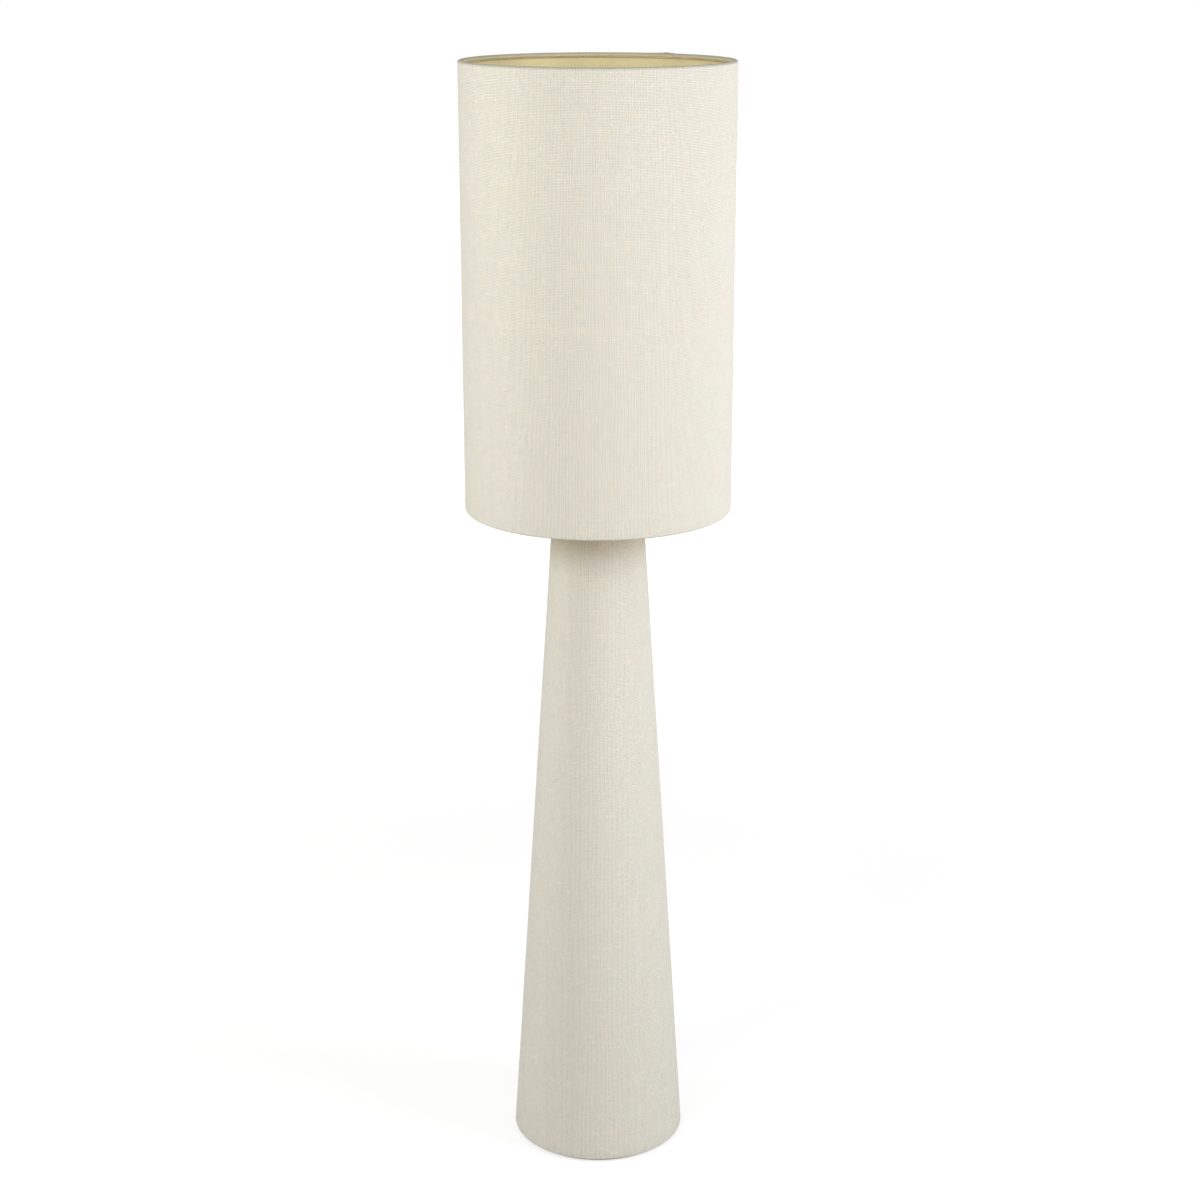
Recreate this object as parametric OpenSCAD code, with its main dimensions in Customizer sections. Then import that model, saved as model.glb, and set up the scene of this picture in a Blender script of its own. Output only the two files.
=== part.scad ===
// Column floor lamp: a tall drum shade over a tapering column, both covered in linen.
// Millimetres, +Z up. The origin is on the floor, under the middle of the base; +Y is the back.

/* [Overall] */
// Height from the floor to the shade's top edge
lamp_h = 1480; // [1380:10:1600]

/* [Shade] */
// Outside diameter of the shade
shade_d = 350; // [300:5:420]
// Height of the shade
shade_h = 575; // [480:5:640]
// Thickness of the linen, on the shade and on the column
linen_t = 0.9; // [0.7:0.1:1.2]
// Thickness of the stiff lining that the shade's linen is glued to
lining_t = 0.6; // [0.4:0.1:1]
// Thickness of the steel wire in the rings
wire_d = 3; // [2.4:0.2:4]
// Thickness of the spokes' wire
spoke_d = 2.6; // [2:0.2:3]
// Depth of the hem that is turned in over each ring
hem_h = 9; // [8:0.5:16]
// Width of the shade's lap seam
shade_seam_w = 14; // [8:1:20]
// Where the shade's seam stands, in degrees from +X
shade_seam_az = 57; // [40:1:80]
// Spokes from the bottom ring to the fitter
spoke_count = 3; // [3:1:5]

/* [Column] */
// Diameter of the column at the floor
column_base_d = 236; // [220:2:270]
// Diameter of the column at its top
column_top_d = 118; // [108:2:134]
// How far the column's top stands up inside the shade
column_rise = 12; // [0:1:24]
// Radius of the edges at both ends of the column
edge_r = 3; // [2:0.25:3.5]
// Wall of the rigid core under the linen
core_t = 3; // [3:0.5:5]
// Width of linen that is turned in under the base
base_turn_w = 16; // [12:1:24]
// Width of linen that is turned in over the column's top
top_turn_w = 12; // [9:1:16]
// Width of the column's lap seam
column_seam_w = 12; // [8:1:18]
// Thickness of the board in the column's top
top_board_t = 15; // [12:1:20]
// Thickness of the painted plate that covers the top board
top_plate_t = 1.5; // [1:0.25:3]
// Screws that hold the core to the top board
top_screw_count = 4; // [3:1:6]

/* [Base] */
// Thickness of the felt under the base
felt_t = 3; // [2:0.5:5]
// How far the felt's edge lies inside the column's edge
felt_inset = 6; // [4:1:9]
// Thickness of the board in the column's foot
base_board_t = 12; // [11:1:18]
// Height of the cast iron weight
weight_h = 26; // [20:1:36]
// Diameter of the hole in the middle of the weight
weight_hole_d = 92; // [84:2:110]
// Gap between the weight and the core
weight_gap = 7; // [4:0.5:12]
// Width of the cord channel across the weight
channel_w = 12; // [9:1:18]
// Depth of the cord channel
channel_depth = 14; // [10:1:16]
// Thread diameter of the bolts that hold the weight
weight_bolt_d = 8; // [6:1:8]
// Bolts that hold the weight
weight_bolt_count = 3; // [3:1:5]
// Screws that hold the core to the base board
base_screw_count = 6; // [4:1:12]

/* [Cord inlet] */
// Bore of the rubber grommet that a mains cord passes through
inlet_d = 7; // [6:0.5:8]
// Diameter of the grommet's outer flange
inlet_flange_d = 18; // [17:0.5:22]

/* [Lampholder] */
// Diameter of the threaded nipple that carries the lampholder
nipple_d = 10; // [9.5:0.5:10.5]
// Bore of the nipple
nipple_bore_d = 8; // [7.2:0.2:8.4]
// Height of the lampholder's cap
cap_h = 26; // [24:1:32]
// Height of the lampholder's body
holder_h = 52; // [50:1:58]
// Diameter of the thread that the shade ring runs on
holder_thread_d = 39.4; // [38.4:0.2:40.4]
// Bore of the lampholder's mouth
holder_bore_d = 28.8; // [28.6:0.1:30]
// Travel of the shade ring, from clamped to free of its thread
ring_travel = 30; // [20:1:31]
// Height of the shade ring
ring_h = 12; // [9:0.5:13]
// Grip ribs round the shade ring
ring_rib_count = 18; // [12:1:24]

/* [Bulb] */
// Diameter of the bulb's opal globe
globe_d = 60; // [55:1:70]
// Length of the bulb, from its contact to its top
bulb_l = 108; // [104:1:116]
// Largest diameter of the bulb's screw cap
bulb_cap_d = 26.2; // [25.8:0.1:26.4]

/* [Hidden] */
$fn = 96;

eps = 0.01;        // a cut runs this far past a face
glue_t = 0.1;      // layer of glue under the linen
fit_gap = 0.15;    // clearance of a piece that is fitted by hand
rest_gap = 0.3;    // clearance between pieces that move apart
screw_gap = 0.05;  // clearance round a small screw or a moulded-in piece
thread_gap = 0.06; // clearance round a thread
edge_steps = 5;    // straight steps in a rounded edge

// Levels, from the floor up
column_z0 = felt_t;
shade_z0 = lamp_h - shade_h;
column_z1 = shade_z0 + column_rise;
base_board_z0 = column_z0 + linen_t;
base_board_z1 = base_board_z0 + base_board_t;
weight_z1 = base_board_z1 + weight_h;
inlet_z = weight_z1 - channel_depth / 2;
top_board_z1 = column_z1 - linen_t;
top_board_z0 = top_board_z1 - top_board_t;
top_plate_z1 = column_z1 + top_plate_t;
top_plate_inset = 3;

// Column
cover_to_core = linen_t + glue_t;
function column_r(z) = (column_base_d + (column_top_d - column_base_d)
    * (z - column_z0) / (column_z1 - column_z0)) / 2;
function core_bore_r(z) = column_r(z) - cover_to_core - core_t;

// Base
weight_r = core_bore_r(weight_z1) - weight_gap;
weight_bolt_pcd = weight_r + weight_hole_d / 2;
bolt_head_d = 1.8 * weight_bolt_d;
bolt_head_h = 0.66 * weight_bolt_d;
bolt_sink = 0.5;
bolt_socket_gap = 1;
bolt_reach = weight_h * 0.6;
bolt_first_az = 30;
screw_d = 3.2;
screw_head_d = 6.4;
screw_head_h = 1.8;
screw_l = 19;
screw_sink = 0.5;

// Terminal block, which stands on the base board inside the weight's hole
block_w = 24;
block_l = 18;
block_h = 13;
block_y = 14;
block_web_h = 4.5;
block_tower_w = 9;
sleeve_pitch = 13;
sleeve_xs = [-sleeve_pitch / 2, sleeve_pitch / 2];
sleeve_l = block_l - 2;
sleeve_r = 2.6;
sleeve_bore_r = 1.6;
sleeve_z = base_board_z1 + block_h / 2;
clamp_ys = [block_y - 5, block_y + 5];
clamp_screw_r = 1.4;
clamp_screw_l = 4.2;
clamp_hole_r = 2;
block_screw_r = 1.5;
block_screw_reach = base_board_t * 0.6;
block_screw_head_r = 1.9;
block_screw_head_h = 1.4;

// Cord inlet
inlet_neck_d = inlet_d + 6;
inlet_flange_t = 2.5;
inlet_inner_flange_d = inlet_neck_d + 3;
inlet_inner_flange_t = 1.8;

// Neck hardware
washer_d = 20;
washer_t = 1;
nut_af = 14;
nut_h = 4;
nipple_tail = 4;
nipple_z0 = top_board_z0 - washer_t - nut_h - nipple_tail;
holder_z0 = top_plate_z1 + washer_t + nut_h;
cap_thread_h = 10;
nipple_z1 = holder_z0 + cap_thread_h;

// Lampholder
cap_wall = 2;
cap_neck_r = 9;
cap_rim_h = 4;
belt_r = 21.5;
belt_h = 4;
shoulder_r = 25;
shoulder_t = 3;
body_z0 = holder_z0 + cap_h;
shoulder_z1 = body_z0 + belt_h + shoulder_t;
mouth_z = body_z0 + holder_h;
insert_r = 17.3;
insert_z0 = body_z0 + 0.5;
insert_h = 10;
insert_z1 = insert_z0 + insert_h;
terminal_x = 7;
contact_screw_r = 1.8;
terminal_depth = 4;
shell_t = 0.5;
shell_r = holder_bore_d / 2 - fit_gap;
shell_flange_w = 3;
shell_tab_w = 5;
contact_t = 0.6;
contact_w = 6;
contact_rise = 6;
contact_pad_w = 8;

// Shade carrier and the ring that clamps it
fitter_t = 2;
fitter_hole_r = holder_thread_d / 2 + 0.9;
fitter_r = 29;
fitter_z0 = shoulder_z1 + rest_gap;
ring_z0 = fitter_z0 + fitter_t + rest_gap;
thread_z1 = ring_z0 + ring_travel;
ring_bore_r = holder_thread_d / 2 + rest_gap;
ring_sleeve_r = ring_bore_r + 2.6;
ring_flange_r = ring_bore_r + 5.8;
ring_flange_t = 2.5;
ring_rib_r = 0.8;

// Shade wall and hems. The bend goes over the ring's wire and the lining's edge.
shade_r = shade_d / 2;
lining_r = shade_r - linen_t - glue_t;
lining_bore_r = lining_r - lining_t;
wire_r = wire_d / 2;
ring_wire_r = lining_bore_r - glue_t - wire_r;
lip_r = ring_wire_r - wire_r - glue_t;
bend_mid_r = (shade_r + lip_r - linen_t) / 2;
bend_r = shade_r - bend_mid_r;
hem_drop = wire_d + 1.5;
lip_back_r = lining_bore_r - glue_t;
bend_steps = 8;
spoke_notch_gap = 0.6;

// Bulb
bulb_z0 = insert_z1 + contact_rise + rest_gap;
tip_h = 1.5;
tip_r = 4.6;
insulator_h = 6.5;
bulb_cap_z0 = bulb_z0 + tip_h + insulator_h;
bulb_cap_h = 17;
bulb_thread_pitch = 3.63;
bulb_thread_count = 4;
bulb_thread_depth = 0.7;
bulb_thread_lead = 1.4;
bulb_root_r = bulb_cap_d / 2 - bulb_thread_depth;
shell_thread_z = bulb_cap_z0 + bulb_thread_lead - insert_z1 + bulb_thread_pitch / 2;
shell_h = shell_thread_z + bulb_thread_count * bulb_thread_pitch;
housing_z0 = bulb_cap_z0 + bulb_cap_h;
housing_neck_r = 13.4;
housing_neck_z1 = mouth_z + 3;
globe_z = bulb_z0 + bulb_l - globe_d / 2;
globe_wall = 1.2;
globe_cut = globe_d * 0.3;
housing_z1 = globe_z - globe_cut;
housing_rim_r = globe_d * 0.415;
housing_wall = 1.2;
led_board_t = 1.6;
led_board_gap = 0.8;
driver_w = 16;
driver_h = 28;
driver_t = 1.6;

// Inner lead, from the terminal block to the lampholder: points by hand in the lamp's middle plane,
// as [y, height over the block's sleeves], then up the nipple
lead_d = 6;
lead_sides = 10;
wire_core_r = 1.1;
wire_core_x = 1.4;
wire_exit = 2;
wire_sides = 12;
lead_start = [[-8, 0], [-14, 0], [-19, 1.5], [-24, 4.5], [-27.5, 9], [-29, 15], [-29, 22], [-28, 36],
    [-26, 60], [-23, 100], [-20, 150], [-17, 210], [-14, 280], [-11, 360], [-8, 450], [-5, 550],
    [-2.5, 660], [-0.8, 760]];
lead_top_z = holder_z0 + cap_h * 0.55;
lead_route = concat([for (p = lead_start) [0, p[0], sleeve_z + p[1]]],
    [[0, 0, nipple_z0 - 12], [0, 0, nipple_z0], [0, 0, nipple_z1], [0, 0, lead_top_z]]);

// Shapes that several pieces share

// Points of an arc about [cx, cy], from angle a0 to angle a1
function arc(cx, cy, r, a0, a1, steps) =
    [for (i = [0:steps]) let (a = a0 + (a1 - a0) * i / steps) [cx + r * cos(a), cy + r * sin(a)]];

function reversed(list) = [for (i = [len(list) - 1:-1:0]) list[i]];

// The column's outline with rounded ends, taken in by a distance, from the foot to the top
function column_side(inset) = concat(
    arc(column_r(column_z0 + edge_r) - edge_r, column_z0 + edge_r, edge_r - inset, -90, 0, edge_steps),
    arc(column_r(column_z1 - edge_r) - edge_r, column_z1 - edge_r, edge_r - inset, 0, 90, edge_steps));

// A small upright cylinder that stands on a point
module pin(at, r, h) {
    translate(at) cylinder(h = h, r = r, $fn = 48);
}

// A cylinder that runs level from a point towards the back
module level_pin(at, r, l) {
    translate(at) rotate([-90, 0, 0]) cylinder(h = l, r = r, $fn = 64);
}

// A straight round rod from point a to point b
module rod(a, b, r) {
    v = b - a;
    l = norm(v);
    translate(a) rotate([0, acos(v[2] / l), atan2(v[1], v[0])]) cylinder(h = l, r = r, $fn = 48);
}

module tube(r_out, r_in, h) {
    difference() {
        cylinder(h = h, r = r_out);
        translate([0, 0, -eps]) cylinder(h = h + 2 * eps, r = r_in);
    }
}

// A solid cone with the column's taper between two levels, grown by a distance
module column_cone(z0, z1, grow) {
    translate([0, 0, z0]) cylinder(h = z1 - z0, r1 = column_r(z0) + grow, r2 = column_r(z1) + grow);
}

// The same, as wide as the core's bore less a gap
module core_plug(z0, z1, gap) {
    column_cone(z0, z1, -cover_to_core - core_t - gap);
}

// A countersunk wood screw that runs in from the core's face towards the middle; with a clearance it is
// the hole for that screw, open past the face
module core_screw(az, z, gap) {
    face_r = column_r(z) - cover_to_core - screw_sink;
    rotate([0, 0, az]) translate([face_r, 0, z]) rotate([0, -90, 0]) {
        cylinder(h = screw_head_h + gap, r1 = screw_head_d / 2 + gap, r2 = screw_d / 2 + gap, $fn = 48);
        cylinder(h = screw_l + gap, r = screw_d / 2 + gap, $fn = 48);
        if (gap > 0) pin([0, 0, eps - core_t], screw_head_d / 2 + gap, core_t);
    }
}

module base_screw_row(gap = 0) {
    for (i = [0:base_screw_count - 1])
        core_screw(i * 360 / base_screw_count, base_board_z0 + base_board_t / 2, gap);
}

module top_screw_row(gap = 0) {
    for (i = [0:top_screw_count - 1])
        core_screw((i + 0.5) * 360 / top_screw_count, top_board_z0 + top_board_t / 2, gap);
}

module weight_bolt_places() {
    for (i = [0:weight_bolt_count - 1]) rotate([0, 0, bolt_first_az + 360 * i / weight_bolt_count])
        translate([weight_bolt_pcd / 2, 0, 0]) children();
}

// A hole from inside the column out through its back wall
module back_hole(r) {
    level_pin([0, column_r(inlet_z) / 2, inlet_z], r, column_base_d);
}

module nipple_washer(z) {
    translate([0, 0, z]) tube(washer_d / 2, nipple_d / 2 + fit_gap, washer_t);
}

// A hexagonal nut on the nipple's thread
module nipple_nut(z) {
    translate([0, 0, z]) difference() {
        cylinder(h = nut_h, r = nut_af / sqrt(3), $fn = 6);
        translate([0, 0, -eps]) cylinder(h = nut_h + 2 * eps, r = nipple_d / 2 + thread_gap);
    }
}

// A rod swept along points that lie in a plane square to an axis
module plane_sweep(points, axis, r, sides) {
    n = len(points);
    function dir(i) = let (d = points[min(i + 1, n - 1)] - points[max(i - 1, 0)]) d / norm(d);
    rings = [for (i = [0:n - 1]) let (up = cross(axis, dir(i)))
        for (k = [0:sides - 1]) let (a = 360 * k / sides) points[i] + r * (cos(a) * axis + sin(a) * up)];
    walls = [for (i = [0:n - 2]) for (k = [0:sides - 1]) let (m = (k + 1) % sides)
        [i * sides + k, (i + 1) * sides + k, (i + 1) * sides + m, i * sides + m]];
    foot = [for (k = [0:sides - 1]) k];
    tip = [for (k = [sides - 1:-1:0]) (n - 1) * sides + k];
    polyhedron(rings, concat(walls, [foot], [tip]));
}

// Base

module base_felt() {
    color("dimgray") cylinder(h = felt_t, r = column_base_d / 2 - felt_inset);
}

module base_board() {
    color("tan") difference() {
        core_plug(base_board_z0, base_board_z1, fit_gap);
        weight_bolt_places() {
            pin([0, 0, base_board_z0 - eps], bolt_head_d / 2 + bolt_socket_gap, bolt_sink + bolt_head_h + eps);
            pin([0, 0, base_board_z0 - eps], weight_bolt_d / 2 + fit_gap, base_board_t + 2 * eps);
        }
        base_screw_row(fit_gap);
        pin([0, block_y, base_board_z1 - block_screw_reach], block_screw_r + screw_gap, base_board_t);
    }
}

module base_weight() {
    color("dimgray") difference() {
        translate([0, 0, base_board_z1]) tube(weight_r, weight_hole_d / 2, weight_h);
        translate([-channel_w / 2, 0, weight_z1 - channel_depth])
            cube([channel_w, weight_r + eps, channel_depth + eps]);
        weight_bolt_places() pin([0, 0, base_board_z1 - eps], weight_bolt_d / 2 + thread_gap, bolt_reach + 1);
    }
}

// Hexagon bolts from under the board up into the weight
module weight_bolts() {
    head_z = base_board_z0 + bolt_sink;
    color("silver") weight_bolt_places() {
        translate([0, 0, head_z]) cylinder(h = bolt_head_h, r = bolt_head_d / 2, $fn = 6);
        pin([0, 0, head_z], weight_bolt_d / 2, base_board_z1 + bolt_reach - head_z);
    }
}

module terminal_block() {
    front_y = block_y - block_l / 2;
    color("white") difference() {
        union() {
            translate([-block_w / 2, front_y, base_board_z1]) cube([block_w, block_l, block_web_h]);
            for (x = sleeve_xs) translate([x - block_tower_w / 2, front_y, base_board_z1])
                cube([block_tower_w, block_l, block_h]);
        }
        for (x = sleeve_xs) {
            level_pin([x, front_y - eps, sleeve_z], sleeve_r + screw_gap, block_l + 2 * eps);
            for (y = clamp_ys) pin([x, y, sleeve_z], clamp_hole_r, block_h);
        }
        pin([0, block_y, base_board_z1 - eps], block_screw_r + screw_gap, block_h);
    }
}

module terminal_sleeves() {
    color("gold") for (x = sleeve_xs) difference() {
        level_pin([x, block_y - sleeve_l / 2, sleeve_z], sleeve_r, sleeve_l);
        level_pin([x, block_y - block_l, sleeve_z], sleeve_bore_r, 2 * block_l);
        for (y = clamp_ys) pin([x, y, sleeve_z], clamp_screw_r + screw_gap, block_h);
    }
}

module terminal_screws() {
    color("silver") for (x = sleeve_xs, y = clamp_ys)
        pin([x, y, sleeve_z + wire_core_r + glue_t], clamp_screw_r, clamp_screw_l);
}

module block_screw() {
    color("silver") {
        pin([0, block_y, base_board_z1 + block_web_h], block_screw_head_r, block_screw_head_h);
        pin([0, block_y, base_board_z1 - block_screw_reach], block_screw_r, block_screw_reach + block_web_h);
    }
}

// Cord inlet: a rubber grommet in the back wall, just over the base
module inlet_grommet() {
    wall_y = column_r(inlet_z - inlet_flange_d / 2);
    outer_y = wall_y + inlet_flange_t;
    inner_y = core_bore_r(inlet_z + inlet_inner_flange_d / 2) - inlet_inner_flange_t;
    color("ivory") difference() {
        union() {
            level_pin([0, inner_y, inlet_z], inlet_neck_d / 2, outer_y - inner_y);
            difference() {
                level_pin([0, wall_y / 2, inlet_z], inlet_flange_d / 2, outer_y - wall_y / 2);
                column_cone(column_z0, column_z1, screw_gap);
            }
            intersection() {
                level_pin([0, inner_y, inlet_z], inlet_inner_flange_d / 2, inlet_flange_d);
                core_plug(column_z0, column_z1, screw_gap);
            }
        }
        back_hole(inlet_d / 2);
    }
}

// Column

module column_core() {
    top = column_z1 - cover_to_core;
    foot = column_z0 + cover_to_core;
    bore = [[core_bore_r(top), top], [core_bore_r(foot), foot]];
    color("burlywood") difference() {
        rotate_extrude() polygon(concat(column_side(cover_to_core), bore));
        base_screw_row(fit_gap);
        top_screw_row(fit_gap);
        back_hole(inlet_neck_d / 2 + fit_gap);
    }
}

// Linen round the core, turned in over the top board and under the base board
module column_cover() {
    foot_r = column_base_d / 2 - base_turn_w;
    top_r = column_top_d / 2 - top_turn_w;
    top_turn = [[top_r, column_z1], [top_r, column_z1 - linen_t]];
    base_turn = [[foot_r, column_z0 + linen_t], [foot_r, column_z0]];
    color("linen") difference() {
        rotate_extrude() polygon(concat(column_side(0), top_turn, reversed(column_side(linen_t)), base_turn));
        back_hole(inlet_neck_d / 2 + fit_gap);
    }
}

// The lap where the linen's edges meet, down the middle of the back
module column_seam() {
    z0 = column_z0 + edge_r;
    z1 = column_z1 - edge_r;
    color("antiquewhite") difference() {
        intersection() {
            column_cone(z0, z1, linen_t);
            translate([-column_seam_w / 2, 0, z0]) cube([column_seam_w, column_base_d, z1 - z0]);
        }
        column_cone(column_z0, column_z1, 0);
        back_hole(inlet_flange_d / 2 + fit_gap);
    }
}

module base_core_screws() {
    color("silver") base_screw_row();
}

module top_core_screws() {
    color("silver") top_screw_row();
}

module top_board() {
    color("tan") difference() {
        core_plug(top_board_z0, top_board_z1, fit_gap);
        pin([0, 0, top_board_z0 - eps], nipple_d / 2 + fit_gap, top_board_t + 2 * eps);
        top_screw_row(fit_gap);
    }
}

module top_plate() {
    color("white") translate([0, 0, column_z1])
        tube(column_top_d / 2 - edge_r - top_plate_inset, nipple_d / 2 + fit_gap, top_plate_t);
}

// Neck hardware

module threaded_nipple() {
    color("silver") translate([0, 0, nipple_z0]) tube(nipple_d / 2, nipple_bore_d / 2, nipple_z1 - nipple_z0);
}

module lower_washer() {
    color("silver") nipple_washer(top_board_z0 - washer_t);
}

module lower_nut() {
    color("silver") nipple_nut(top_board_z0 - washer_t - nut_h);
}

module upper_washer() {
    color("silver") nipple_washer(top_plate_z1);
}

module upper_nut() {
    color("silver") nipple_nut(top_plate_z1 + washer_t);
}

// The lead inside the column, from the terminal block up through the nipple
module inner_lead() {
    color("white") plane_sweep(lead_route, [1, 0, 0], lead_d / 2, lead_sides);
}

// The lead's two cores, which leave their sheath straight, at the terminal block and at the lampholder
module lead_wires() {
    sheath_y = lead_start[0][0];
    mouth_y = block_y - block_l / 2 - 1;
    under_insert_z = insert_z0 - 2;
    color("saddlebrown") for (s = [-1, 1]) {
        core_x = s * wire_core_x;
        sleeve_x = s * sleeve_pitch / 2;
        hole_x = s * terminal_x;
        low_end = [[core_x, sheath_y, sleeve_z], [core_x, sheath_y + wire_exit, sleeve_z],
            [sleeve_x, mouth_y, sleeve_z], [sleeve_x, block_y - 2, sleeve_z]];
        high_end = [[core_x, 0, lead_top_z], [core_x, 0, lead_top_z + wire_exit],
            [hole_x, 0, under_insert_z], [hole_x, 0, insert_z0 + terminal_depth]];
        plane_sweep(low_end, [0, 0, 1], wire_core_r, wire_sides);
        plane_sweep(high_end, [0, 1, 0], wire_core_r, wire_sides);
    }
}

// Lampholder

// A hollow cap that screws onto the nipple and flares to the body's belt
module holder_cap() {
    rim_z = cap_h - cap_rim_h;
    bore_r = nipple_d / 2 + thread_gap;
    color("white") translate([0, 0, holder_z0]) rotate_extrude() polygon([
        [bore_r, 0], [cap_neck_r, 0], [cap_neck_r, cap_thread_h], [belt_r, rim_z], [belt_r, cap_h],
        [belt_r - cap_wall, cap_h], [belt_r - cap_wall, rim_z + cap_wall / 2],
        [cap_neck_r - cap_wall / 2, cap_thread_h + cap_wall / 2], [bore_r, cap_thread_h]]);
}

// Belt, shoulder that the fitter sits on, thread for the shade ring, and plain mouth
module holder_body() {
    color("white") difference() {
        union() {
            translate([0, 0, body_z0]) cylinder(h = belt_h, r = belt_r);
            translate([0, 0, body_z0 + belt_h]) cylinder(h = shoulder_t, r = shoulder_r);
            translate([0, 0, shoulder_z1]) cylinder(h = thread_z1 - shoulder_z1, r = holder_thread_d / 2);
            translate([0, 0, thread_z1]) cylinder(h = mouth_z - thread_z1, r = holder_thread_d / 2 - 0.5);
        }
        translate([0, 0, body_z0 - eps]) cylinder(h = insert_z1 - body_z0 + eps, r = insert_r + fit_gap);
        translate([0, 0, body_z0]) cylinder(h = holder_h + eps, r = holder_bore_d / 2);
    }
}

module holder_insert() {
    color("white") difference() {
        translate([0, 0, insert_z0]) cylinder(h = insert_h, r = insert_r);
        for (x = [-terminal_x, terminal_x]) {
            pin([x, 0, insert_z0 - eps], wire_core_r + fit_gap, insert_h);
            pin([x, 0, insert_z0 + terminal_depth], contact_screw_r + screw_gap, insert_h);
        }
    }
}

module contact_screws() {
    color("gold") for (x = [-terminal_x, terminal_x])
        pin([x, 0, insert_z0 + terminal_depth], contact_screw_r, insert_h - terminal_depth);
}

// The brass shell that the bulb screws into, with a flange on the insert and a tab over one terminal
module screw_shell() {
    root = shell_r - shell_t;
    crest = bulb_cap_d / 2 + rest_gap;
    flange_r = root - shell_flange_w;
    tab_x = terminal_x - shell_tab_w / 2;
    pitch = bulb_thread_pitch;
    ridges = [for (i = [bulb_thread_count - 1:-1:0]) let (z = shell_thread_z + i * pitch)
        each [[root, z + pitch * 0.75], [crest, z + pitch * 0.6],
              [crest, z + pitch * 0.4], [root, z + pitch * 0.25]]];
    color("gold") translate([0, 0, insert_z1]) {
        rotate_extrude() polygon(concat([[shell_r, 0], [shell_r, shell_h], [root, shell_h]], ridges,
            [[root, shell_t], [flange_r, shell_t], [flange_r, 0]]));
        translate([tab_x, -shell_tab_w / 2, 0]) cube([flange_r + 1 - tab_x, shell_tab_w, shell_t]);
    }
}

// A sprung brass tongue: a foot on the insert, a sloping blade and a flat pad under the bulb
module centre_contact() {
    foot = terminal_x + 2;
    pad = contact_pad_w / 2;
    under_pad = contact_rise - contact_t;
    color("gold") translate([0, contact_w / 2, insert_z1]) rotate([90, 0, 0]) linear_extrude(contact_w)
        polygon([[-foot, 0], [2, 0], [2, contact_t], [2 * contact_t - foot, contact_t],
            [pad - contact_t, under_pad], [pad, under_pad], [pad, contact_rise], [-pad, contact_rise],
            [-pad, under_pad], [pad - 3 * contact_t, under_pad], [-foot, contact_t]]);
}

module shade_ring() {
    color("white") difference() {
        translate([0, 0, ring_z0]) {
            cylinder(h = ring_h, r = ring_sleeve_r);
            cylinder(h = ring_flange_t, r = ring_flange_r);
            for (i = [0:ring_rib_count - 1]) rotate([0, 0, 360 * i / ring_rib_count])
                translate([ring_sleeve_r, 0, 0]) cylinder(h = ring_h - 1, r = ring_rib_r, $fn = 24);
        }
        translate([0, 0, ring_z0 - eps]) cylinder(h = ring_h + 2 * eps, r = ring_bore_r);
    }
}

// Shade

// The upper half of the linen's section, from the shade's middle up over the ring's wire and down to the
// end of the hem; z is the height over the middle, and top the shade's half height
function hem_section(top) = let (bend_z = top - bend_r, hang_z = bend_z - hem_drop) concat(
    [[shade_r - linen_t, 0], [shade_r, 0]],
    arc(bend_mid_r, bend_z, bend_r, 0, 180, bend_steps),
    [[lip_r - linen_t, bend_z - wire_r], [lip_back_r - linen_t, hang_z + wire_r],
     [lip_back_r - linen_t, top - hem_h], [lip_back_r, top - hem_h],
     [lip_back_r, hang_z + wire_r + glue_t], [lip_r, bend_z - wire_r + glue_t]],
    arc(bend_mid_r, bend_z, bend_r - linen_t, 180, 0, bend_steps));

module shade_linen() {
    color("linen") difference() {
        translate([0, 0, shade_z0 + shade_h / 2]) {
            rotate_extrude() polygon(hem_section(shade_h / 2));
            mirror([0, 0, 1]) rotate_extrude() polygon(hem_section(shade_h / 2));
        }
        spokes(spoke_d / 2 + spoke_notch_gap);
    }
}

module shade_lining() {
    color("wheat") translate([0, 0, shade_z0 + bend_r]) tube(lining_r, lining_bore_r, shade_h - 2 * bend_r);
}

// The lap where the ends of the shade's panel meet, behind and to the right
module shade_seam() {
    span = shade_seam_w / shade_r * 180 / PI;
    color("antiquewhite") translate([0, 0, shade_z0 + bend_r]) rotate([0, 0, shade_seam_az - span / 2])
        rotate_extrude(angle = span) translate([shade_r, 0]) square([linen_t, shade_h - 2 * bend_r]);
}

module wire_ring(z) {
    translate([0, 0, z]) rotate_extrude() translate([ring_wire_r, 0]) circle(r = wire_r, $fn = 48);
}

module shade_top_ring() {
    color("white") wire_ring(lamp_h - bend_r);
}

// Straight spokes from the bottom ring up to the fitter's edge, the first one to the back
module spokes(r) {
    for (i = [0:spoke_count - 1]) rotate([0, 0, 90 + 360 * i / spoke_count])
        rod([fitter_r - 1, 0, fitter_z0 + fitter_t / 2], [ring_wire_r, 0, shade_z0 + bend_r], r);
}

module shade_carrier() {
    color("white") {
        wire_ring(shade_z0 + bend_r);
        spokes(spoke_d / 2);
        translate([0, 0, fitter_z0]) tube(fitter_r, fitter_hole_r, fitter_t);
    }
}

// Bulb

// The housing's flare from its neck to its rim, by an eased curve, taken in by a wall
function housing_side(wall, steps = 8) = [for (i = [0:steps]) let (t = i / steps, ease = t * t * (3 - 2 * t))
    [housing_neck_r + (housing_rim_r - housing_neck_r) * ease - wall,
     housing_neck_z1 + (housing_z1 - housing_neck_z1) * t]];

module bulb_globe() {
    color("white") difference() {
        translate([0, 0, globe_z]) sphere(r = globe_d / 2);
        translate([0, 0, globe_z]) sphere(r = globe_d / 2 - globe_wall);
        translate([0, 0, globe_z - globe_d]) cylinder(h = globe_d - globe_cut, r = globe_d);
    }
}

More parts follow.
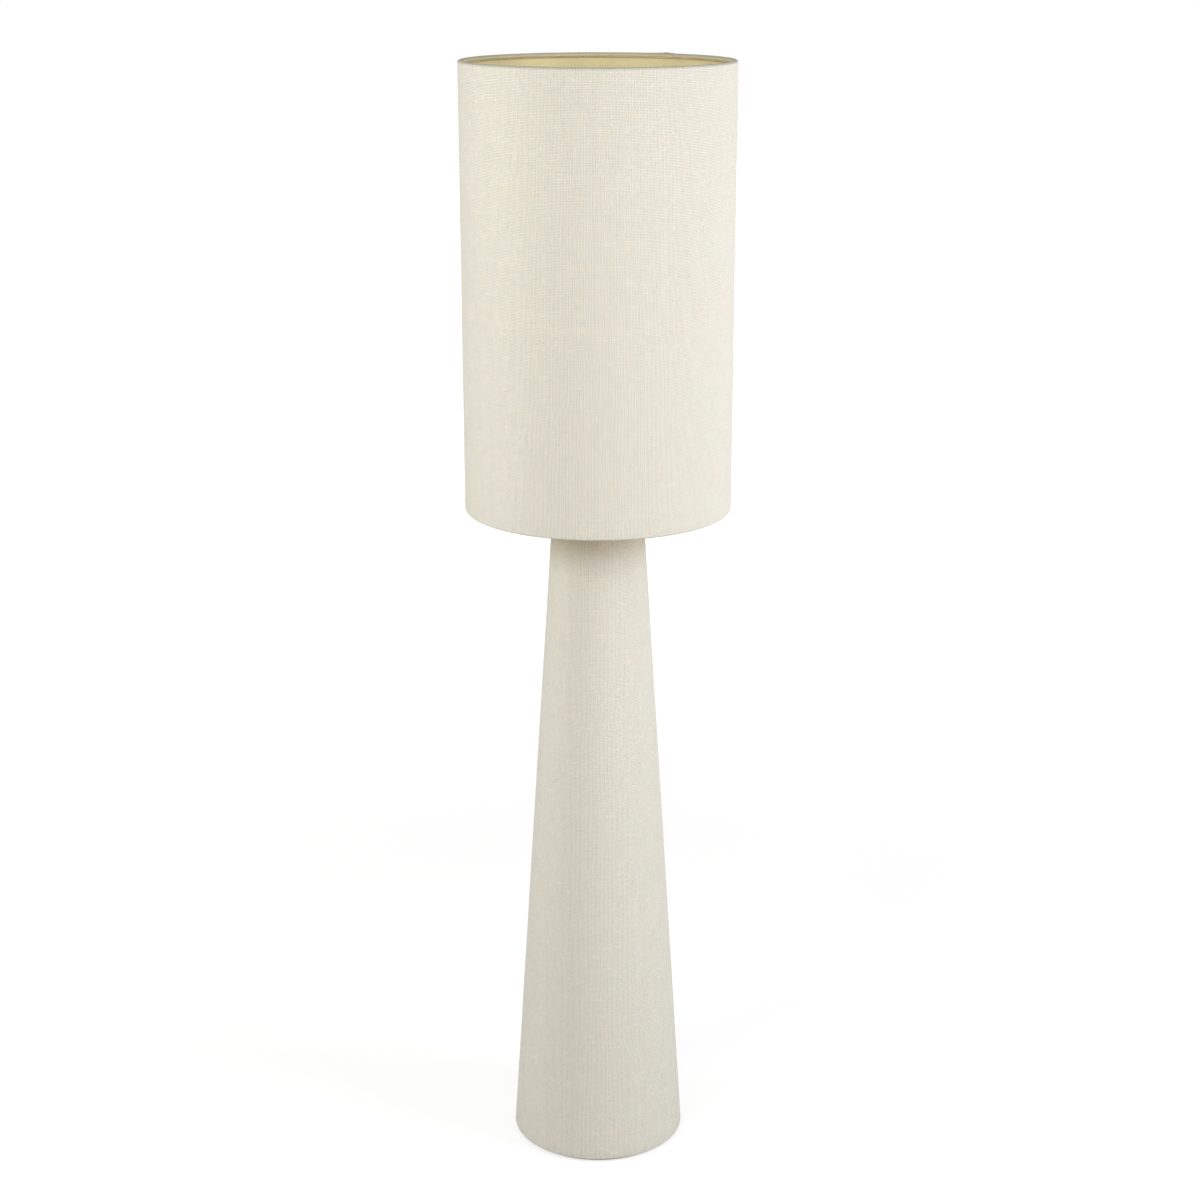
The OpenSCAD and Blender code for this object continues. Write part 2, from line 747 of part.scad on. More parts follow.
module bulb_housing() {
    neck = [[housing_neck_r - housing_wall, housing_z0], [housing_neck_r, housing_z0]];
    color("whitesmoke") rotate_extrude()
        polygon(concat(neck, housing_side(0), reversed(housing_side(housing_wall))));
}

module bulb_cap() {
    crest = bulb_cap_d / 2;
    pitch = bulb_thread_pitch;
    ridges = [for (i = [0:bulb_thread_count - 1]) let (z = bulb_thread_lead + i * pitch)
        each [[bulb_root_r, z], [crest, z + pitch * 0.35], [crest, z + pitch * 0.65]]];
    color("silver") translate([0, 0, bulb_cap_z0]) rotate_extrude() polygon(concat(
        [[bulb_root_r - shell_t, 0], [bulb_root_r, 0]], ridges,
        [[bulb_root_r, bulb_cap_h], [bulb_root_r - shell_t, bulb_cap_h]]));
}

module bulb_insulator() {
    color("dimgray") translate([0, 0, bulb_z0 + tip_h])
        cylinder(h = insulator_h, r1 = tip_r + 1, r2 = bulb_root_r);
}

module bulb_contact() {
    color("silver") translate([0, 0, bulb_z0]) cylinder(h = tip_h, r1 = tip_r - 1, r2 = tip_r);
}

module bulb_led_board() {
    color("white") translate([0, 0, housing_z1 - led_board_t])
        cylinder(h = led_board_t, r = housing_rim_r - housing_wall - led_board_gap);
}

module bulb_driver() {
    color("green") translate([-driver_w / 2, -driver_t / 2, housing_z1 - led_board_t - driver_h])
        cube([driver_w, driver_t, driver_h]);
}

base_felt();
base_board();
base_weight();
weight_bolts();
terminal_block();
terminal_sleeves();
terminal_screws();
block_screw();
inlet_grommet();
column_core();
column_cover();
column_seam();
base_core_screws();
top_core_screws();
top_board();
top_plate();
threaded_nipple();
lower_washer();
lower_nut();
upper_washer();
upper_nut();
inner_lead();
lead_wires();
holder_cap();
holder_body();
holder_insert();
contact_screws();
screw_shell();
centre_contact();
shade_ring();
shade_linen();
shade_lining();
shade_seam();
shade_top_ring();
shade_carrier();
bulb_globe();
bulb_housing();
bulb_cap();
bulb_insulator();
bulb_contact();
bulb_led_board();
bulb_driver();
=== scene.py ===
"""A tall floor lamp: a linen drum shade over a linen-covered column that widens towards the floor.

Metres, +Z up. The origin is on the floor, under the middle of the base; +Y is the back.
"""

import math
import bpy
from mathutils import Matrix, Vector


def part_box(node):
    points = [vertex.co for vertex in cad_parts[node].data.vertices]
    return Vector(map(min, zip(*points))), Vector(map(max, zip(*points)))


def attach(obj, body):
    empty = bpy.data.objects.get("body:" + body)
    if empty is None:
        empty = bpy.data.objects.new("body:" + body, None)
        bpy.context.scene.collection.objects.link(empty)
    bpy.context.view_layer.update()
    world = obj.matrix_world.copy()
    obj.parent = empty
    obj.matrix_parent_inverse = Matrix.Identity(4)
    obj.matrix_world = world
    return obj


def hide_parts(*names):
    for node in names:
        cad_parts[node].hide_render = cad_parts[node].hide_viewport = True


bl_info = {
    "name": "Linen Column Floor Lamp",
    "version": (1, 0, 0),
    "blender": (4, 5, 0),
    "location": "3D View > Sidebar > Floor Lamp",
    "description": "Models and finishes a floor lamp with a linen drum shade on a linen-covered column",
    "category": "Object",
}

import bpy
import numpy as np
from bpy.props import FloatProperty, FloatVectorProperty, IntProperty, PointerProperty
from mathutils import Matrix, Vector, noise

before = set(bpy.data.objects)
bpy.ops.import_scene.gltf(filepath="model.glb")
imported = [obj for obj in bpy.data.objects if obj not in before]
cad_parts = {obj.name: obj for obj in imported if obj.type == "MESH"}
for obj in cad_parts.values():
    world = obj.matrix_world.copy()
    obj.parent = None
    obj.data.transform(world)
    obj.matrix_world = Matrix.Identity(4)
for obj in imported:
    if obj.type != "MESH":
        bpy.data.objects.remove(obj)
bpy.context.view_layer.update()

CLOTH_UV = "flat_cut"
MERGE_DISTANCE = 1e-6


# Measures of the frame


def reach(node):
    """How far a round node reaches from the lamp's axis."""
    return round(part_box(node)[1].x, 5)


def levels(node):
    """A node's lowest and highest level."""
    low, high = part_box(node)
    return round(low.z, 5), round(high.z, 5)


def radius_at(node, level):
    """A round node's outer radius at a level where it has corners."""
    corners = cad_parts[node].data.vertices
    return max(v.co.xy.length for v in corners if abs(v.co.z - level) < 1e-4)


SHADE_R = reach("shade_linen")
SHADE_Z0, SHADE_Z1 = levels("shade_linen")
LINING_R = reach("shade_lining")
LINING_Z0, LINING_Z1 = levels("shade_lining")
RING_Z = sum(levels("shade_top_ring")) / 2
WIRE_R = round((levels("shade_top_ring")[1] - levels("shade_top_ring")[0]) / 2, 4)
RING_R = reach("shade_top_ring") - WIRE_R
HEM_BEND_R = SHADE_Z1 - RING_Z
BEND_MIDDLE_R = SHADE_R - HEM_BEND_R
LOW_RING_Z = SHADE_Z0 + HEM_BEND_R
COLUMN_Z0, COLUMN_Z1 = levels("column_cover")
COLUMN_EDGE_R = round(levels("column_seam")[0] - COLUMN_Z0, 5)
COLUMN_LOW, COLUMN_HIGH = COLUMN_Z0 + COLUMN_EDGE_R, COLUMN_Z1 - COLUMN_EDGE_R
INLET_LOW, INLET_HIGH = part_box("inlet_grommet")
INLET_Z = (INLET_LOW.z + INLET_HIGH.z) / 2

# Small measures that no node has
PLAY = 0.00015  # between a piece and the hole that it sits in
HEM_GAP = 0.0001  # between the turned-in linen and the lining
HEM_STEP = 0.0024  # how far past a ring's middle the hem reaches the lining
NOTCH_R = 0.0019  # of the cut in the linen for a spoke
FITTER_WIDTH, FITTER_THICK = 0.0032, 0.002  # past the shade ring's flange, and through its sheet
FITTER_PLAY = 0.0014  # between the lampholder's thread and the fitter's hole
SPOKE_BITE = 0.001  # how deep a spoke's end sits in the fitter
BULB_WALL = 0.0012
CAP_PITCH, CAP_THREAD = 0.00363, 0.0007  # of the screw cap, and how deep its thread is


def column_radius(level):
    """The column's radius at a level, along its straight taper."""
    r_low, r_high = radius_at("column_cover", COLUMN_LOW), radius_at("column_cover", COLUMN_HIGH)
    return r_low + (r_high - r_low) * (level - COLUMN_LOW) / (COLUMN_HIGH - COLUMN_LOW)


# Sizes and colours that can be changed


def length(name, description, default, top=1.0):
    """A length in metres."""
    return FloatProperty(
        name=name, description=description, default=default, min=0.0, max=top,
        precision=4, subtype="DISTANCE", unit="LENGTH")


def colour(name, description, default):
    """A colour, in linear light."""
    return FloatVectorProperty(
        name=name, description=description, default=default, min=0.0, max=1.0, size=3, subtype="COLOR")


def angle(name, description, degrees):
    return FloatProperty(
        name=name, description=description, default=math.radians(degrees), subtype="ANGLE")


def power(name, description, default):
    return FloatProperty(name=name, description=description, default=default, subtype="POWER")


def count(name, description, default, least, most):
    return IntProperty(name=name, description=description, default=default, min=least, max=most)


class LinenSettings(bpy.types.PropertyGroup):
    """The linen on the shade and the column"""

    thickness: length("Thickness", "Thickness of the linen", 0.0009)
    thread: length("Thread spacing", "From one thread to the next", 0.0018)
    warp: colour("Warp", "Colour of the upright threads", (0.905, 0.882, 0.797))
    weft: colour("Weft", "Colour of the level threads", (0.793, 0.752, 0.642))
    pale: colour("Pale thread", "Colour of the slubs", (0.93, 0.90, 0.82))
    warm: colour("Warm thread", "Colour of the warmest threads", (0.90, 0.812, 0.652))
    cool: colour("Cool thread", "Colour of the coolest threads", (0.81, 0.828, 0.738))
    ripple: length("Ripple", "How far the cloth strays from a true surface", 0.00025)
    ripple_length: length("Ripple length", "From one ripple to the next", 0.09)


class ShadeSettings(bpy.types.PropertyGroup):
    """The shade's cloth, lining and seam"""

    hem: length("Hem", "Depth of linen that is turned in over each ring", 0.0060)
    hem_stray: length("Hem stray", "How far the hem's cut edge strays", 0.0007)
    seam_width: length("Seam width", "Width of the lap seam", 0.014)
    swell: length("Swell", "How far the cloth rises over the upper ring at its lap", 0.0007)
    swell_width: length("Swell width", "How far beside the lap it begins to rise", 0.026)
    seam_azimuth: angle("Seam azimuth", "Where the seam stands, from +X", 57)
    lining: length("Lining", "Thickness of the stiff lining", 0.0006)
    lining_tone: colour("Lining", "Colour of the lining's gold side", (0.95, 0.86, 0.53))


class ColumnSettings(bpy.types.PropertyGroup):
    """The column's cloth and foot"""

    foot_turn: length("Foot turn-in", "Width of linen that is turned in under the base", 0.016)
    top_turn: length("Top turn-in", "Width of linen that is turned in over the top", 0.012)
    seam_width: length("Seam width", "Width of the column's lap seam", 0.012)
    neck: length("Grommet neck", "Diameter of the hole for the grommet", 0.0133)
    felt_edge: length("Felt edge", "Radius of the felt's soft edge", 0.0009)
    felt_tone: colour("Felt", "Colour of the felt", (0.50, 0.47, 0.41))


class FittingSettings(bpy.types.PropertyGroup):
    """The shade's wire frame, the lampholder and the bulb"""

    edge: length("Edge", "Radius of the moulded and turned edges", 0.0005)
    spoke: length("Spoke", "Diameter of the spokes' wire", 0.0026)
    spoke_count: count("Spokes", "Spokes from the ring to the fitter", 3, 2, 6)
    weld: length("Weld", "Radius of the weld beads", 0.0027)
    ribs: count("Ribs", "Grip ribs round the shade ring", 18, 6, 48)
    thread: length("Thread pitch", "Pitch of the lampholder's outer thread", 0.0025)
    paint: colour("Paint", "Colour of the painted steel", (0.80, 0.79, 0.76))
    plastic: colour("Plastic", "Colour of the moulded plastic", (0.82, 0.81, 0.78))
    opal: colour("Opal", "Colour of the bulb's globe", (0.88, 0.88, 0.86))


class StageSettings(bpy.types.PropertyGroup):
    """Floor, lamps and camera"""

    floor: colour("Floor", "Colour of the floor", (0.42, 0.42, 0.42))
    floor_radius: length("Floor radius", "Radius of the floor", 14.0, 40.0)
    floor_gap: length("Floor gap", "From the felt down to the floor", 0.0001)
    sky: FloatProperty(
        name="Sky", description="Level of light from all round", default=0.52, min=0.0, max=2.0)
    left: power("Left lamp", "Power of the lamp at the left", 5.0)
    front: power("Front lamp", "Power of the lamp at the front left", 18.7)
    right: power("Right lamp", "Power of the low lamp at the right", 10.2)
    high: power("High lamp", "Power of the high lamp at the right", 15.4)
    lamp_size: length("Lamp size", "Side of each lamp's square", 0.9)
    lamp_distance: length("Lamp distance", "From the axis of the floor lamp to each lamp", 1.9, 10.0)
    eye: FloatVectorProperty(
        name="Camera", description="Place of the camera", default=(0.0026, -2.8814, 1.6342), size=3,
        subtype="TRANSLATION")
    tilt: angle("Tilt", "How far the camera looks down", 16.57)
    lens: FloatProperty(
        name="Lens", description="Focal length in millimetres", default=67.52, min=10, max=300)


SETTINGS = {
    "lamp_linen": LinenSettings,
    "lamp_shade": ShadeSettings,
    "lamp_column": ColumnSettings,
    "lamp_fittings": FittingSettings,
    "lamp_stage": StageSettings,
}


# Finishes


class Nodes:
    """A tree of shader nodes."""

    def __init__(self, tree):
        self.tree = tree

    def node(self, kind, inputs=(), **settings):
        """A new node. Its inputs come in their order, or by name or number."""
        made = self.tree.nodes.new("ShaderNode" + kind)
        for key, value in settings.items():
            setattr(made, key, value)
        for key, value in inputs.items() if isinstance(inputs, dict) else enumerate(inputs):
            self.put(made.inputs[key], value)
        return made

    def put(self, socket, value):
        """Links a socket to another one, or sets its value."""
        if isinstance(value, bpy.types.NodeSocket):
            self.tree.links.new(value, socket)
        elif socket.type == "RGBA" and len(value) == 3:
            socket.default_value = (*value, 1)
        else:
            socket.default_value = value

    def math(self, operation, *values):
        return self.node("Math", values, operation=operation).outputs[0]

    def length(self, vector):
        return self.node("VectorMath", [vector], operation="LENGTH").outputs["Value"]

    def place(self):
        return self.node("TexCoord").outputs["Object"]

    def flat_place(self):
        """A point's place in the cloth's flat cut, as two sockets in metres."""
        return self.split(self.node("UVMap", uv_map=CLOTH_UV).outputs[0])[:2]

    def split(self, vector):
        return tuple(self.node("SeparateXYZ", [vector]).outputs)

    def point(self, x, y, z=0.0):
        return self.node("CombineXYZ", (x, y, z)).outputs[0]

    def noise(self, place, scale, detail=2.0, roughness=0.5, dimensions="3D"):
        inputs = {"Vector": place, "Scale": scale, "Detail": detail, "Roughness": roughness}
        return self.node("TexNoise", inputs, noise_dimensions=dimensions).outputs[0]

    def grain(self, scale, detail=2.0, roughness=0.5):
        """Noise that is fixed to the piece."""
        return self.noise(self.place(), scale, detail, roughness)

    def chance(self, number):
        """A random value from 0 to 1 for each whole number."""
        return self.node("TexWhiteNoise", {"W": number}, noise_dimensions="1D").outputs["Value"]

    def spread(self, value, low, high, to_low=0.0, to_high=1.0, smooth=False):
        """Maps a range onto another one, and stays inside it."""
        kind = "SMOOTHSTEP" if smooth else "LINEAR"
        inputs = (value, low, high, to_low, to_high)
        return self.node("MapRange", inputs, interpolation_type=kind).outputs[0]

    def mix(self, share, first, second, blend="MIX"):
        inputs = {0: share, 6: first, 7: second}
        return self.node("Mix", inputs, data_type="RGBA", blend_type=blend).outputs[2]

    def choose(self, second, first_value, second_value):
        """One of two numbers: the second one where second is 1."""
        inputs = {0: second, 2: first_value, 3: second_value}
        return self.node("Mix", inputs, data_type="FLOAT").outputs[0]

    def grey(self, value):
        """A colour with the same value in each channel."""
        return self.node("CombineColor", [value] * 3).outputs[0]

    def seen(self):
        """1 for camera, glossy and transmission rays, and 0 for the light that falls on the lamp."""
        path = self.node("LightPath").outputs
        mirrored = self.math("MAXIMUM", path["Is Glossy Ray"], path["Is Transmission Ray"])
        return self.math("MAXIMUM", path["Is Camera Ray"], mirrored)


class Finish(Nodes):
    """A material that is put together from shader nodes."""

    def __init__(self, name, **shader_values):
        self.material = bpy.data.materials.new(name)
        self.material.use_nodes = True
        super().__init__(self.material.node_tree)
        self.tree.nodes.clear()
        values = {socket.replace("_", " "): value for socket, value in shader_values.items()}
        self.shader = self.node("BsdfPrincipled", values)
        self.output = self.node("OutputMaterial", {"Surface": self.shader.outputs[0]})

    def tone(self, value):
        self.put(self.shader.inputs["Base Color"], value)

    def clouds(self, cloud, low, high, most, tone, other):
        """Tones the surface, and lets another tone in where the cloud is dense."""
        self.tone(self.mix(self.spread(cloud, low, high, 0.0, most), tone, other))

    def rough(self, value, low, high, smoothest, roughest):
        self.put(self.shader.inputs["Roughness"], self.spread(value, low, high, smoothest, roughest))

    def bump(self, height, distance, strength=1.0):
        inputs = {"Height": height, "Distance": distance, "Strength": strength}
        self.put(self.shader.inputs["Normal"], self.node("Bump", inputs).outputs[0])


def scaled(tone, factor):
    """A tone made darker or lighter."""
    return [min(1.0, c * factor) for c in tone]


# Of the weave, in threads: how far one strays, its half width and how far it lifts over a crossing one
STRAY_THREADS = 2.2
THREAD_HALF = 0.36
CRIMP = 0.35


def linen(name, fold, shaded_within=0.0):
    """Plain-woven linen, thread by thread: each one has its own tone, thickness and slubs.

    It has painted shade along its upper fold, and painted warm shade on the hem inside a radius. Without such a
    radius it is the column's linen, with painted shade and painted warm bounced light close under the shade.
    """
    cloth = bpy.context.scene.lamp_linen
    made = Finish(name, Roughness=0.88, Sheen_Weight=0.12, Sheen_Roughness=0.5, Specular_IOR_Level=0.18)
    calc, spread = made.math, made.spread
    u, v = made.flat_place()

    def stretched(x, x_scale, y, y_scale, start=0.0, detail=3.0, roughness=0.5):
        """A noise with a scale of its own along each of two directions."""
        spot = made.point(calc("MULTIPLY", x, x_scale), calc("MULTIPLY_ADD", y, y_scale, start))
        return made.noise(spot, 1.0, detail, roughness, "2D")

    def threads(across, along, first):
        """One set of threads: which one, how far across it, its own chance, its slubs and its roundness."""
        stray = stretched(across, 40.0, along, 7.0, first, detail=5.0, roughness=0.65)
        strayed = calc("MULTIPLY_ADD", stray, STRAY_THREADS, calc("DIVIDE", across, cloth.thread))
        which = calc("FLOOR", strayed)
        offset = calc("SUBTRACT", calc("SUBTRACT", strayed, which), 0.5)
        own = made.chance(calc("ADD", which, first))
        slub = stretched(along, 85.0, which, 7.31, first)
        half = calc("ADD", calc("MULTIPLY_ADD", slub, 0.08, THREAD_HALF), calc("MULTIPLY", own, 0.02))
        round_part = calc("SUBTRACT", 1.0, calc("POWER", calc("DIVIDE", offset, half), 2.0))
        swell = spread(slub, 0.62, 0.75, 0.9, 1.0)
        body = calc("MULTIPLY", calc("SQRT", calc("MAXIMUM", round_part, 0.0)), swell)
        return which, offset, own, slub, body

    warp, warp_offset, warp_own, warp_slub, warp_body = threads(u, v, 40.0)
    weft, weft_offset, weft_own, weft_slub, weft_body = threads(v, u, 9000.0)

    turn = calc("PINGPONG", calc("ADD", warp, weft), 1.0)
    side = calc("MULTIPLY_ADD", turn, 2.0, -1.0)
    warp_lift = calc("MULTIPLY", side, calc("COSINE", calc("MULTIPLY", weft_offset, math.pi)))
    weft_lift = calc("MULTIPLY", side, calc("COSINE", calc("MULTIPLY", warp_offset, math.pi)))
    warp_top = calc("MULTIPLY_ADD", warp_lift, CRIMP, warp_body)
    weft_top = calc("MULTIPLY_ADD", weft_lift, -CRIMP, weft_body)
    top = calc("MAXIMUM", calc("MAXIMUM", warp_top, weft_top), 0.0)
    warp_shows = calc("GREATER_THAN", warp_top, weft_top)
    own = made.choose(warp_shows, weft_own, warp_own)
    slub = made.choose(warp_shows, weft_slub, warp_slub)

    patch = made.noise(made.point(u, v), 65.0, 5.0, 0.75, "2D")
    base = made.mix(warp_shows, cloth.weft, cloth.warp)
    for share, tone in (
            (spread(slub, 0.63, 0.72, 0.0, 0.7), cloth.pale),
            (spread(own, 0.70, 1.0, 0.0, 0.34), cloth.warm),
            (spread(own, 0.30, 0.0, 0.0, 0.34), cloth.cool),
            (spread(patch, 0.52, 0.74, 0.0, 0.46), cloth.warm),
            (spread(patch, 0.46, 0.26, 0.0, 0.46), cloth.cool)):
        base = made.mix(share, base, tone)

    lump = made.node("TexWhiteNoise", {"Vector": made.point(warp, weft)}, noise_dimensions="2D")
    across_top, along_top = made.choose(warp_shows, v, u), made.choose(warp_shows, u, v)
    fibre = stretched(across_top, 5200.0, along_top, 900.0, roughness=0.65)
    # Painted shade in the hollows between threads, times each crossing's and each fibre's own tone
    depth = calc("MULTIPLY", spread(top, 0.0, 0.85, 0.20, 1.08),
                 spread(lump.outputs["Value"], 0.0, 1.0, 0.98, 1.02))
    depth = calc("MULTIPLY", depth, spread(fibre, 0.25, 0.75, 0.89, 1.12))
    base = made.mix(1.0, base, made.grey(depth), "MULTIPLY")

    x, y, z = made.split(made.place())
    # Painted shade along the upper fold, where the cloth's top faces up
    from_fold = calc("ABSOLUTE", calc("SUBTRACT", z, fold))
    fold_shade = spread(from_fold, 0.0, 0.0042, 1.0, 0.0, smooth=True)
    base = made.mix(fold_shade, base, (0.56, 0.56, 0.52), "MULTIPLY")
    if shaded_within:
        # Painted shade with a warm tint on the hem inside the radius, where it faces into the shade
        from_axis = made.length(made.point(x, y))
        share, tint = spread(from_axis, shaded_within, shaded_within + 0.0012, 1.0, 0.0), (1.0, 0.95, 0.83)
    else:
        # Painted shade and painted warm bounced light on the column, strongest close under the shade
        share, tint = spread(z, SHADE_Z0 - 0.062, SHADE_Z0 - 0.026), (0.95, 0.86, 0.76)
    made.tone(made.mix(share, base, tint, "MULTIPLY"))
    made.bump(calc("MULTIPLY_ADD", fibre, 0.35, top), 0.0004, 0.9)
    return made.material


def gold_lining(name):
    """Champagne-gold film on stiff paper, with a fine grain and a dark brown band along both hems."""
    shade = bpy.context.scene.lamp_shade
    made = Finish(name, Metallic=0.08, Roughness=0.55, Specular_IOR_Level=0.4)
    u, v = made.flat_place()
    cloud = made.noise(made.point(u, v), 14.0, 4.0, dimensions="2D")
    grain_place = made.point(made.math("MULTIPLY", u, 900.0), made.math("MULTIPLY", v, 300.0))
    grain = made.noise(grain_place, 1.0, 3.0, dimensions="2D")
    deep = scaled(shade.lining_tone, 0.82)
    base = made.mix(made.spread(cloud, 0.3, 0.7), shade.lining_tone, deep)
    base = made.mix(made.spread(grain, 0.35, 0.75, 0.0, 0.35), base, deep)
    middle = (LINING_Z0 + LINING_Z1) / 2
    from_middle = made.math("ABSOLUTE", made.math("SUBTRACT", v, middle))
    hem_edge = SHADE_Z1 - shade.hem - middle
    # A dark brown band on the lining just below each hem's cut edge
    hem_band = made.spread(from_middle, hem_edge - 0.0024, hem_edge - 0.0008, 0.0, 0.7, smooth=True)
    made.tone(made.mix(hem_band, base, (0.46, 0.30, 0.12)))
    made.rough(grain, 0.2, 0.8, 0.48, 0.62)
    made.bump(grain, 0.00006, 0.5)
    return made.material


def felt(name):
    """Pressed wool felt: a short tangled nap."""
    column = bpy.context.scene.lamp_column
    made = Finish(name, Roughness=0.95, Sheen_Weight=0.35, Sheen_Roughness=0.4, Specular_IOR_Level=0.1)
    nap = made.grain(1400.0, detail=4.0, roughness=0.7)
    cloud = made.grain(60.0, detail=3.0)
    light = scaled(column.felt_tone, 1.45)
    base = made.mix(made.spread(nap, 0.45, 0.75), column.felt_tone, light)
    made.clouds(cloud, 0.3, 0.7, 0.35, base, light)
    made.bump(nap, 0.0004, 0.7)
    return made.material


def painted_steel(name):
    """Powder-coated steel: a fine orange peel."""
    made = Finish(name, Roughness=0.38, Coat_Weight=0.15, Coat_Roughness=0.3)
    peel = made.grain(700.0)
    cloud = made.grain(30.0, detail=3.0)
    paint = bpy.context.scene.lamp_fittings.paint
    made.clouds(cloud, 0.3, 0.7, 0.5, paint, scaled(paint, 0.94))
    made.rough(cloud, 0.3, 0.7, 0.34, 0.46)
    made.bump(peel, 0.00006, 0.5)
    return made.material


def moulded_plastic(name, tone, roughness):
    """Moulded plastic with a fine spark-eroded grain."""
    made = Finish(name, Roughness=roughness)
    fine = made.grain(2400.0)
    cloud = made.grain(45.0, detail=3.0)
    made.clouds(cloud, 0.3, 0.7, 0.6, tone, scaled(tone, 0.93))
    made.rough(fine, 0.3, 0.7, roughness - 0.05, roughness + 0.07)
    made.bump(fine, 0.00003, 0.6)
    return made.material


def metal(name, tone, roughness, tarnish, tarnish_tone):
    """A plated or bare metal: fine drawing lines, and tarnish in clouds."""
    made = Finish(name, Metallic=1.0, Roughness=roughness)
    cloud = made.grain(120.0, detail=5.0, roughness=0.65)
    drawn = made.node("Mapping", {"Vector": made.place(), "Scale": (1.0, 1.0, 12.0)})
    lines = made.noise(drawn.outputs[0], 500.0, 3.0)
    made.clouds(cloud, 0.45, 0.8, tarnish, tone, tarnish_tone)
    made.rough(cloud, 0.3, 0.8, roughness, roughness + 0.2)
    made.bump(lines, 0.00002, 0.4)
    return made.material


def cast_iron(name):
    """Sand-cast iron under a thin dark paint."""
    made = Finish(name, Metallic=0.35, Roughness=0.62)
    sand = made.grain(900.0, detail=4.0, roughness=0.65)
    cloud = made.grain(55.0, detail=5.0, roughness=0.6)
    base = made.mix(made.spread(cloud, 0.35, 0.7), (0.050, 0.050, 0.052), (0.095, 0.092, 0.088))
    made.clouds(sand, 0.66, 0.78, 0.5, base, (0.20, 0.085, 0.04))
    made.bump(sand, 0.0004, 0.8)
    return made.material


def fibre_board(name, tone, chips):
    """Pressed board: short fibres and chips of several tones."""
    made = Finish(name, Roughness=0.82, Specular_IOR_Level=0.2)
    cells = made.node("TexVoronoi", {"Vector": made.place(), "Scale": chips})
    chip = made.node("SeparateColor", [cells.outputs["Color"]])
    fibre = made.grain(chips * 2.5, detail=4.0, roughness=0.7)
    base = made.mix(chip.outputs[0], scaled(tone, 0.78), scaled(tone, 1.12))
    made.clouds(fibre, 0.5, 0.8, 0.5, base, scaled(tone, 0.6))
    made.bump(fibre, 0.0002, 0.5)
    return made.material


def rubber(name, tone):
    """Soft moulded rubber or cable sheath, slightly dusty."""
    made = Finish(name, Roughness=0.6, Specular_IOR_Level=0.35)
    dust = made.grain(350.0, detail=4.0, roughness=0.6)
    made.clouds(dust, 0.45, 0.8, 0.5, tone, scaled(tone, 0.85))
    made.rough(dust, 0.3, 0.7, 0.52, 0.7)
    made.bump(dust, 0.00005, 0.5)
    return made.material


def opal_glass(name):
    """Milky glass, satin outside."""
    opal = bpy.context.scene.lamp_fittings.opal
    made = Finish(name, Roughness=0.22, Subsurface_Weight=0.35, Subsurface_Scale=0.004, Coat_Weight=0.3,
                  Coat_Roughness=0.12)
    cloud = made.grain(40.0, detail=3.0)
    made.clouds(cloud, 0.35, 0.7, 0.6, opal, scaled(opal, 0.96))
    made.rough(cloud, 0.3, 0.7, 0.18, 0.28)
    return made.material


def circuit_board(name, tone, mark):
    """A board with a lacquer, tracks and small parts as marks."""
    made = Finish(name, Roughness=0.4, Coat_Weight=0.3, Coat_Roughness=0.2)
    inputs = {"Vector": made.place(), "Scale": 260.0, "Color1": tone, "Color2": scaled(tone, 1.25)}
    tracks = made.node("TexBrick", {**inputs, "Mortar": mark}, offset=0.5)
    made.tone(tracks.outputs["Color"])
    made.bump(tracks.outputs["Fac"], 0.00004, 0.5)
    return made.material


def white_plastic(name):
    return moulded_plastic(name, list(bpy.context.scene.lamp_fittings.plastic), 0.34)


# Each slot's finish, and the values that it is made with
FINISHES = {
    # The shade's linen: its fold's level, and the radius inside which its hem gets painted shade
    "shade_linen": (linen, SHADE_Z1, BEND_MIDDLE_R - 0.0006),
    "column_linen": (linen, COLUMN_Z1),
    "lining": (gold_lining,),
    "felt": (felt,),
    "board": (fibre_board, (0.46, 0.33, 0.20), 420.0),
    "card": (fibre_board, (0.42, 0.31, 0.20), 900.0),
    "cast_iron": (cast_iron,),
    "zinc_steel": (metal, (0.62, 0.64, 0.66), 0.30, 0.6, (0.42, 0.40, 0.35)),
    "brass": (metal, (0.80, 0.60, 0.28), 0.26, 0.7, (0.45, 0.28, 0.12)),
    "nickel": (metal, (0.70, 0.68, 0.63), 0.22, 0.3, (0.50, 0.46, 0.38)),
    "white_paint": (painted_steel,),
    "white_plastic": (white_plastic,),
    "block_plastic": (moulded_plastic, (0.72, 0.71, 0.66), 0.42),
    "black_plastic": (moulded_plastic, (0.03, 0.03, 0.032), 0.36),
    "rubber": (rubber, (0.70, 0.66, 0.56)),
    "sheath": (rubber, (0.78, 0.77, 0.73)),
    "core_insulation": (rubber, (0.26, 0.13, 0.06)),
    "opal": (opal_glass,),
    "circuit_board": (circuit_board, (0.02, 0.16, 0.07), (0.55, 0.45, 0.20)),
    "led_board": (circuit_board, (0.75, 0.75, 0.72), (0.80, 0.66, 0.15)),
}


def finish_of(slot):
    """The finish of a material slot, made once."""
    make, *values = FINISHES[slot]
    return bpy.data.materials.get("finish_" + slot) or make("finish_" + slot, *values)


# Modelling


def deselect_all():
    if bpy.context.mode != "OBJECT":
        bpy.ops.object.mode_set(mode="OBJECT")
    bpy.ops.object.select_all(action="DESELECT")


def pick(piece):
    """Makes a piece the only one that is selected, and the active one."""
    deselect_all()
    piece.select_set(True)
    bpy.context.view_layer.objects.active = piece


def added(name):
    """The piece that has just been added, named."""
    piece = bpy.context.object
    piece.name = piece.data.name = name
    return piece


def arc(centre, radius, start, end, steps):
    """Points of an arc, with its angles in degrees."""
    angles = [math.radians(start + (end - start) * i / steps) for i in range(steps + 1)]
    return [(centre[0] + radius * math.cos(a), centre[1] + radius * math.sin(a)) for a in angles]


def straight(start, end, steps):
    """Points from start towards end, without the end itself."""
    return [tuple(a + (b - a) * i / steps for a, b in zip(start, end)) for i in range(steps)]


